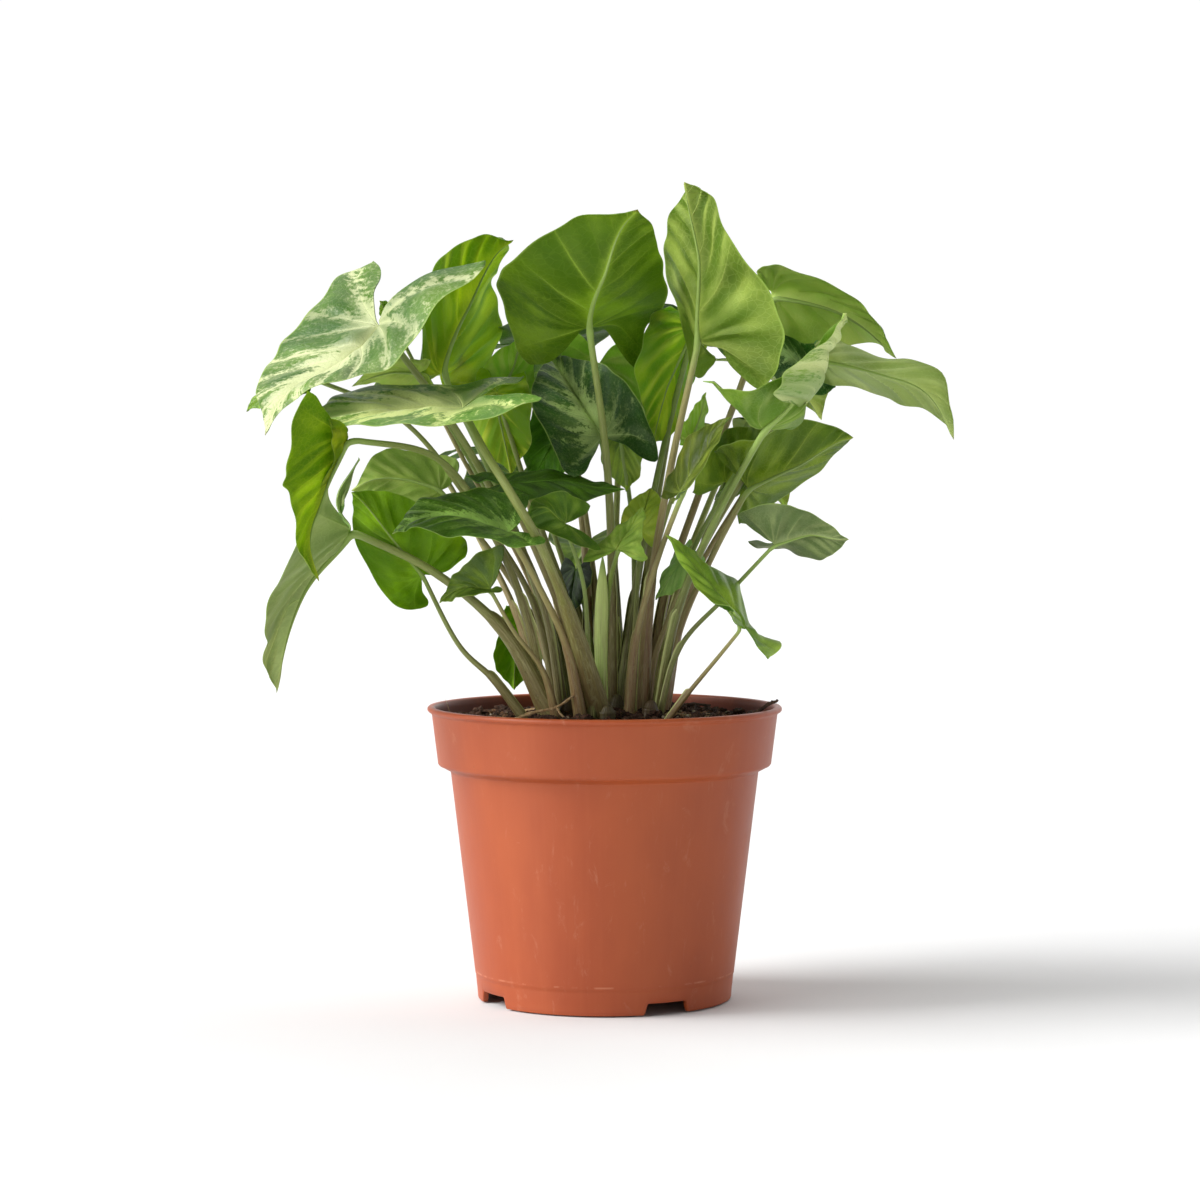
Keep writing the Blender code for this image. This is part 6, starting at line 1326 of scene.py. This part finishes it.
# ------------------------------------------------------------------ soil
def soil_material(name, dark, light, scale):
    mat = bpy.data.materials.new(name)
    nb = Nodes(mat)
    geo = nb.new("ShaderNodeTexCoord").outputs["Object"]
    a = nb.noise(geo, scale, 6.0, 0.7)
    b = nb.noise(geo, scale * 5, 4.0, 0.65)
    col = nb.mix(nb.step(nb.m("ADD", nb.m("MULTIPLY", a, 0.6), nb.m("MULTIPLY", b, 0.4)), 0.38, 0.68), dark, light)
    fib = nb.noise(geo, scale * 14, 3.0, 0.6)
    col = nb.mix(nb.m("MULTIPLY", nb.step(fib, 0.60, 0.74), 0.35), col, srgb(120, 92, 62))
    normal = nb.bump(nb.m("ADD", a, nb.m("MULTIPLY", b, 0.6)), 0.9, 0.0012)
    p = nb.principled(col, nb.m("ADD", nb.m("MULTIPLY", b, 0.25), 0.70), normal, spec=0.30)
    nb.out(p.outputs[0])
    return mat


SOIL_DARK = soil_material("peat", srgb(40, 25, 17), srgb(100, 67, 48), 420.0)
BARK = soil_material("bark", srgb(70, 44, 26), srgb(132, 94, 60), 600.0)
GRIT = soil_material("grit", srgb(170, 150, 118), srgb(226, 216, 196), 800.0)
CHIP = soil_material("peat_chip", srgb(108, 72, 48), srgb(176, 132, 92), 520.0)
WOOD = soil_material("root_skin", srgb(150, 116, 74), srgb(206, 178, 136), 900.0)
TWIG = soil_material("twig_skin", srgb(46, 30, 20), srgb(96, 70, 48), 700.0)


def value_noise(x, y, seed, scale):
    """Smooth random lumps, from sines of turned directions."""
    rng = np.random.default_rng(seed)
    out = np.zeros(np.shape(x))
    for k in range(14):
        a = rng.uniform(0, 2 * np.pi)
        f = scale * rng.uniform(0.6, 1.8)
        out += np.sin((x * math.cos(a) + y * math.sin(a)) * f + rng.uniform(0, 6.28))
    return out / 5.3


def lump(x, y):
    return 0.55 * value_noise(x, y, 3, 0.35) + 0.42 * value_noise(x, y, 4, 1.1) + 0.30 * value_noise(x, y, 5, 2.6)


def build_soil():
    seg, nr = 220, 84
    rim = 56.45
    prof = [(0, 1.7), (10.8, 1.7), (14.3, 6.4), (41.2, 6.4), (42.0, 7.3), (50.4, 77.9), (54.8, 80.9), (55.9, 90.0)]
    verts, rings = [], []
    a = 2 * np.pi * np.arange(seg) / seg
    for r, z in prof:
        if r == 0:
            rings.append([len(verts)])
            verts.append((0, 0, z))
        else:
            rings.append(list(range(len(verts), len(verts) + seg)))
            verts += [(r * math.sin(t), -r * math.cos(t), z) for t in a]
    for i in range(nr):
        r = rim * (1 - i / nr) ** 1.0
        rings.append(list(range(len(verts), len(verts) + seg)))
        x, y = r * np.sin(a), -r * np.cos(a)
        edge = np.clip((rim - r) / 3.0, 0, 1)
        z = SOIL_CENTRE_Z - SOIL_FALL * np.minimum(r / SOIL_FALL_RADIUS, 1.0) ** 2 + lump(x, y) * (0.35 + 0.65 * edge) - 0.5
        # the soil is heaped a little round the stems
        z = z + 1.1 * np.exp(-(r / 24.0) ** 2)
        verts += list(zip(x, y, z))
    rings.append([len(verts)])
    verts.append((0, 0, SOIL_CENTRE_Z + 0.6 + float(lump(np.zeros(1), np.zeros(1))[0])))
    faces = []
    for p, q in zip(rings, rings[1:]):
        for j in range(seg):
            k = (j + 1) % seg
            if len(p) == 1:
                faces.append((p[0], q[j], q[k]))
            elif len(q) == 1:
                faces.append((p[j], p[k], q[0]))
            else:
                faces.append((p[j], p[k], q[k], q[j]))
    obj = mesh_object("soil_live", np.array(verts) * MM, faces, [SOIL_DARK])
    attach(obj, "root")
    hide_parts("soil")


def top_z(x, y):
    r = math.hypot(x, y)
    return (SOIL_CENTRE_Z - SOIL_FALL * min(r / SOIL_FALL_RADIUS, 1.0) ** 2 + float(lump(np.array([x]), np.array([y]))[0]) - 0.5
            + 1.1 * math.exp(-(r / 24.0) ** 2))


def ball(subdiv):
    bm = bmesh.new()
    bmesh.ops.create_icosphere(bm, subdivisions=subdiv, radius=1.0)
    v = np.array([p.co for p in bm.verts])
    f = [tuple(p.index for p in q.verts) for q in bm.faces]
    bm.free()
    return v, f


def scatter(name, count, seed, mat, size, shape, sub, r_in=6.0, r_out=55.0, sink=0.25, where=None):
    rng = np.random.default_rng(seed)
    base, tri = ball(sub)
    verts, faces = [], []
    n0 = 0
    for k in range(count):
        if where is None:
            r = math.sqrt(rng.uniform(r_in ** 2, r_out ** 2))
            t = rng.uniform(0, 2 * math.pi)
            x, y = r * math.sin(t), -r * math.cos(t)
        else:
            x, y = where[k][:2]
        s = rng.uniform(*size) * rng.uniform(0.7, 1.0)
        dims = s * np.array([rng.uniform(*shape[0]), rng.uniform(*shape[1]), rng.uniform(*shape[2])])
        v = base * (1 + 0.34 * rng.uniform(-1, 1, (len(base), 1)))
        v = v * dims
        a, b, c = rng.uniform(0, 2 * math.pi), rng.normal(0, 0.35), rng.normal(0, 0.35)
        rz = np.array([[math.cos(a), -math.sin(a), 0], [math.sin(a), math.cos(a), 0], [0, 0, 1]])
        rx = np.array([[1, 0, 0], [0, math.cos(b), -math.sin(b)], [0, math.sin(b), math.cos(b)]])
        ry = np.array([[math.cos(c), 0, math.sin(c)], [0, 1, 0], [-math.sin(c), 0, math.cos(c)]])
        v = v @ (rz @ rx @ ry).T
        reach = math.hypot(x, y) + np.abs(v[:, :2]).max()
        if reach > 57.0:
            f = (57.0 - np.abs(v[:, :2]).max()) / math.hypot(x, y)
            x, y = x * f, y * f
        z = (where[k][2] if where is not None and len(where[k]) > 2 else top_z(x, y) + dims[2] * (1 - 2 * sink))
        verts.append(v + (x, y, z))
        faces += [tuple(i + n0 for i in f) for f in tri]
        n0 += len(base)
    obj = mesh_object(name, np.vstack(verts) * MM, faces, [mat], smooth=False)
    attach(obj, "root")
    return obj


build_soil()
scatter("soil_crumbs", 900, 11, SOIL_DARK, (0.7, 1.9), ((0.7, 1.1), (0.7, 1.1), (0.5, 0.9)), 2, 4.0, 55.5)
scatter("soil_fines", 1500, 12, SOIL_DARK, (0.3, 0.8), ((0.7, 1.2), (0.7, 1.2), (0.6, 1.0)), 1, 4.0, 56.0)
scatter("soil_clods", 170, 15, SOIL_DARK, (1.6, 3.2), ((0.8, 1.2), (0.7, 1.1), (0.5, 0.8)), 3, 8.0, 52.0, 0.28)
scatter("soil_chips", 420, 16, CHIP, (0.6, 1.6), ((0.8, 1.3), (0.5, 0.9), (0.4, 0.7)), 2, 6.0, 55.0, 0.05)
scatter("bark_bits", 300, 13, BARK, (0.8, 2.3), ((0.9, 1.5), (0.35, 0.7), (0.22, 0.4)), 2, 5.0, 55.0, 0.1)
scatter("grit", 330, 14, GRIT, (0.35, 1.05), ((0.8, 1.1), (0.7, 1.0), (0.6, 0.9)), 1, 5.0, 55.5, 0.1)


def thread(name, pts, r0, r1, mat, sides=8, count=40, replaces=None, knob=0.0, seed=1):
    path = chain(pts, count)
    rng = np.random.default_rng(seed)
    u = np.linspace(0, 1, count)
    r = r0 + (r1 - r0) * u
    for _ in range(6):
        c = rng.uniform(0.05, 0.95)
        r = r * (1 + knob * rng.uniform(0.2, 1.0) * np.exp(-((u - c) / 0.03) ** 2))
    path = path + rng.normal(0, 0.05, path.shape) * r0 * 2
    V, F, TP = tube_mesh(path, r, r * 0.9, sides)
    obj = mesh_object(name, V * MM, F, [mat])
    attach(obj, "root")
    if replaces:
        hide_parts(replaces)
    return obj


def on_soil(points, lift):
    out = []
    for p in points:
        z = top_z(p[0], p[1]) + lift if len(p) == 2 else p[2]
        out.append((p[0], p[1], z))
    return out


ROOTS = [("root_01", [(-38, -14), (-31, -9), (-25, -4), (-23, 3), (-27, 9)], 0.55, 1.05),
         ("root_02", [(20, -12), (24, -7), (31, -5), (38, -9), (43, -8)], 0.85, 0.45)]
for name, pts, r0, r1 in ROOTS:
    thread(name + "_live", on_soil(pts, 0.9), r0, r1, WOOD, 12, 60, name, 0.35, 5)
# finer rootlets, a hair and a dark twig near the wall
FINE = [
    ([(-25, -4), (-22, -9), (-17, -13), (-14, -20)], 0.5, 0.28, WOOD),
    ([(-31, -9), (-33, -3), (-38, 0), (-41, 4)], 0.42, 0.2, WOOD),
    ([(-24, -3), (-20, 1), (-17, 0)], 0.45, 0.3, WOOD),
    ([(-20, -20), (-25, -24), (-31, -27)], 0.4, 0.2, WOOD),
    ([(24, -7), (22, -2), (25, 3)], 0.42, 0.2, WOOD),
    ([(9, -27), (14, -30), (20, -33), (27, -33)], 0.38, 0.2, WOOD),
    ([(31, -5), (35, -1), (41, 0)], 0.36, 0.18, WOOD),
    ([(-5, 30), (-12, 36), (-22, 38), (-30, 36)], 0.5, 0.25, WOOD),
    ([(14, 26), (22, 33), (27, 40)], 0.45, 0.22, WOOD),
    ([(-34, 18), (-40, 22), (-44, 20)], 0.4, 0.2, WOOD),
]
for k, (pts, r0, r1, mat) in enumerate(FINE):
    thread("rootlet_%02d" % (k + 1), on_soil(pts, 0.45), r0, r1, mat, 7, 28, None, 0.3, 30 + k)
thread("hair_left", [(-49.5, -18, 94.5), (-51.5, -18.5, 98), (-53.0, -19, 102.5)], 0.16, 0.07, WOOD, 6, 16, None, 0, 50)
thread("twig_right", [(45.5, -19, 95.0), (51.5, -20, 98.9), (55.0, -20.5, 101.3), (57.6, -20.8, 102.3)], 0.95, 0.45, TWIG, 8, 24, None, 0.4, 51)
thread("twig_back", [(22, 44, 94.8), (30, 40, 96.2), (37, 33, 96.4)], 0.7, 0.35, TWIG, 8, 24, None, 0.5, 52)
thread("rootlet_over_feet", [(-34.0, -20.0, 94.4), (-24.5, -24.0, 98.2), (-16.0, -25.0, 100.4), (-10.6, -24.0, 104.2), (-9.2, -22.0, 107.2)], 0.62, 0.34,
       WOOD, 10, 48, None, 0.45, 53)
thread("rootlet_over_feet_b", [(-16.0, -25.0, 100.4), (-14.4, -26.5, 98.0), (-11.0, -28.0, 95.2)], 0.42, 0.22, WOOD, 8, 24, None, 0.35, 54)
# crumbs that cling to the pot under the lip
CLING = [(-24.5, -53.6, 95.6), (50.2, -30.0, 96.6), (55.3, -20.1, 96.3), (-37.5, -44.9, 94.4), (12.0, -57.6, 95.8), (30.6, -50.2, 95.2)]
scatter("clinging_crumbs", len(CLING), 21, SOIL_DARK, (0.35, 0.6), ((0.8, 1.1), (0.6, 0.9), (0.6, 1.0)), 2, where=CLING)
scatter("wall_crumbs", 60, 22, SOIL_DARK, (0.3, 0.7), ((0.8, 1.1), (0.6, 0.9), (0.6, 1.0)), 1, 55.2, 56.6, -0.4)


# ------------------------------------------------------------------ stems
STEMS = [
    ("stem_01", (-12.0, -12.0), 2.6, 17.0, (-0.9, 0.0)),
    ("stem_02", (4.0, -6.0), 2.7, 19.0, (0.3, 0.2)),
    ("stem_03", (-2.0, 8.0), 2.5, 20.0, (0.0, 0.0)),
    ("stem_04", (15.0, -13.0), 2.6, 16.0, (0.8, -0.3)),
    ("stem_05", (1.0, -22.0), 2.5, 14.0, (0.0, -0.6)),
    ("stem_06", (11.0, 11.0), 2.4, 17.0, (0.0, 0.0)),
]
STEM_SKIN = [stalk_material("sheath_a", srgb(62, 44, 28), srgb(84, 66, 40), 7, srgb(50, 34, 22), 0.12),
             stalk_material("sheath_b", srgb(58, 46, 26), srgb(80, 70, 38), 8, srgb(46, 34, 20), 0.12),
             stalk_material("sheath_c", srgb(66, 44, 30), srgb(88, 62, 42), 9, srgb(52, 34, 22), 0.12)]
for k, (name, (x, y), radius, height, lean) in enumerate(STEMS):
    z = soil_z(x, y)
    height = height * 0.38
    stations = [(-25, radius - 0.5), (-6, radius), (0, radius * 1.02), (2.0, radius * 0.98), (2.7, radius * 1.06), (3.3, radius * 0.96), (0.50 * height, radius * 0.86),
                (0.56 * height, radius * 0.94), (0.62 * height, radius * 0.80), (0.80 * height, radius * 0.62), (0.92 * height, radius * 0.42), (height, radius * 0.10)]
    tt = chain([(h, r) for h, r in stations], 70)
    share = np.clip(tt[:, 0] / height, 0, 1)
    path = np.c_[x + lean[0] * share, y + lean[1] * share, z + tt[:, 0]]
    V, F, TP = tube_mesh(path, tt[:, 1] * 1.10, tt[:, 1] * 0.72, 20, axis=(1, 0.3, 0))
    TP[:, 1] *= 0.55
    obj = mesh_object(name + "_live", V * MM, F, [STEM_SKIN[k % 3]], None, {"tpl": ("FLOAT_VECTOR", TP)},
                      np.c_[TP[:, 0] * 0.98 + 0.01, TP[:, 1] * 0.98 + 0.01])
    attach(obj, "root")
    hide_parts(name)

# ------------------------------------------------------------------ floor, world and lights
floor_mat = bpy.data.materials.new("floor")
fb = Nodes(floor_mat)
fgeo = fb.new("ShaderNodeTexCoord").outputs["Object"]
fcol = fb.mix(fb.step(fb.noise(fgeo, 6.0, 3.0, 0.5), 0.3, 0.7), (0.70, 0.70, 0.70, 1), (0.715, 0.715, 0.715, 1))
fb.out(fb.principled(fcol, 0.9, None, spec=0.1).outputs[0])
floor = mesh_object("floor", [(-6, -6, -0.0004), (6, -6, -0.0004), (6, 6, -0.0004), (-6, 6, -0.0004)], [(0, 1, 2, 3)], [floor_mat], smooth=False)

world = bpy.data.worlds.new("studio")
bpy.context.scene.world = world
world.use_nodes = True
wt = world.node_tree
wt.nodes.clear()
w_coord = wt.nodes.new("ShaderNodeTexCoord")
w_split = wt.nodes.new("ShaderNodeSeparateXYZ")
w_ramp = wt.nodes.new("ShaderNodeMapRange")
w_ramp.interpolation_type = "SMOOTHSTEP"
for i, v in enumerate((0.15, 0.28, 1.02, 0.16)):
    w_ramp.inputs[1 + i].default_value = v
w_back = wt.nodes.new("ShaderNodeBackground")
w_out = wt.nodes.new("ShaderNodeOutputWorld")
wt.links.new(w_coord.outputs["Generated"], w_split.inputs[0])
wt.links.new(w_split.outputs[2], w_ramp.inputs[0])
wt.links.new(w_ramp.outputs[0], w_back.inputs[1])
w_back.inputs[0].default_value = (1, 1, 1, 1)
wt.links.new(w_back.outputs[0], w_out.inputs[0])


def sun(name, toward, angle, strength):
    data = bpy.data.lights.new(name, "SUN")
    data.angle = math.radians(angle)
    data.energy = strength
    obj = bpy.data.objects.new(name, data)
    bpy.context.scene.collection.objects.link(obj)
    obj.rotation_euler = Vector(toward).to_track_quat("Z", "Y").to_euler()
    return obj


for _name, _toward, _angle, _strength in SUNS:
    sun(_name, _toward, _angle, _strength)


# ------------------------------------------------------------------ finish
bpy.context.view_layer.update()
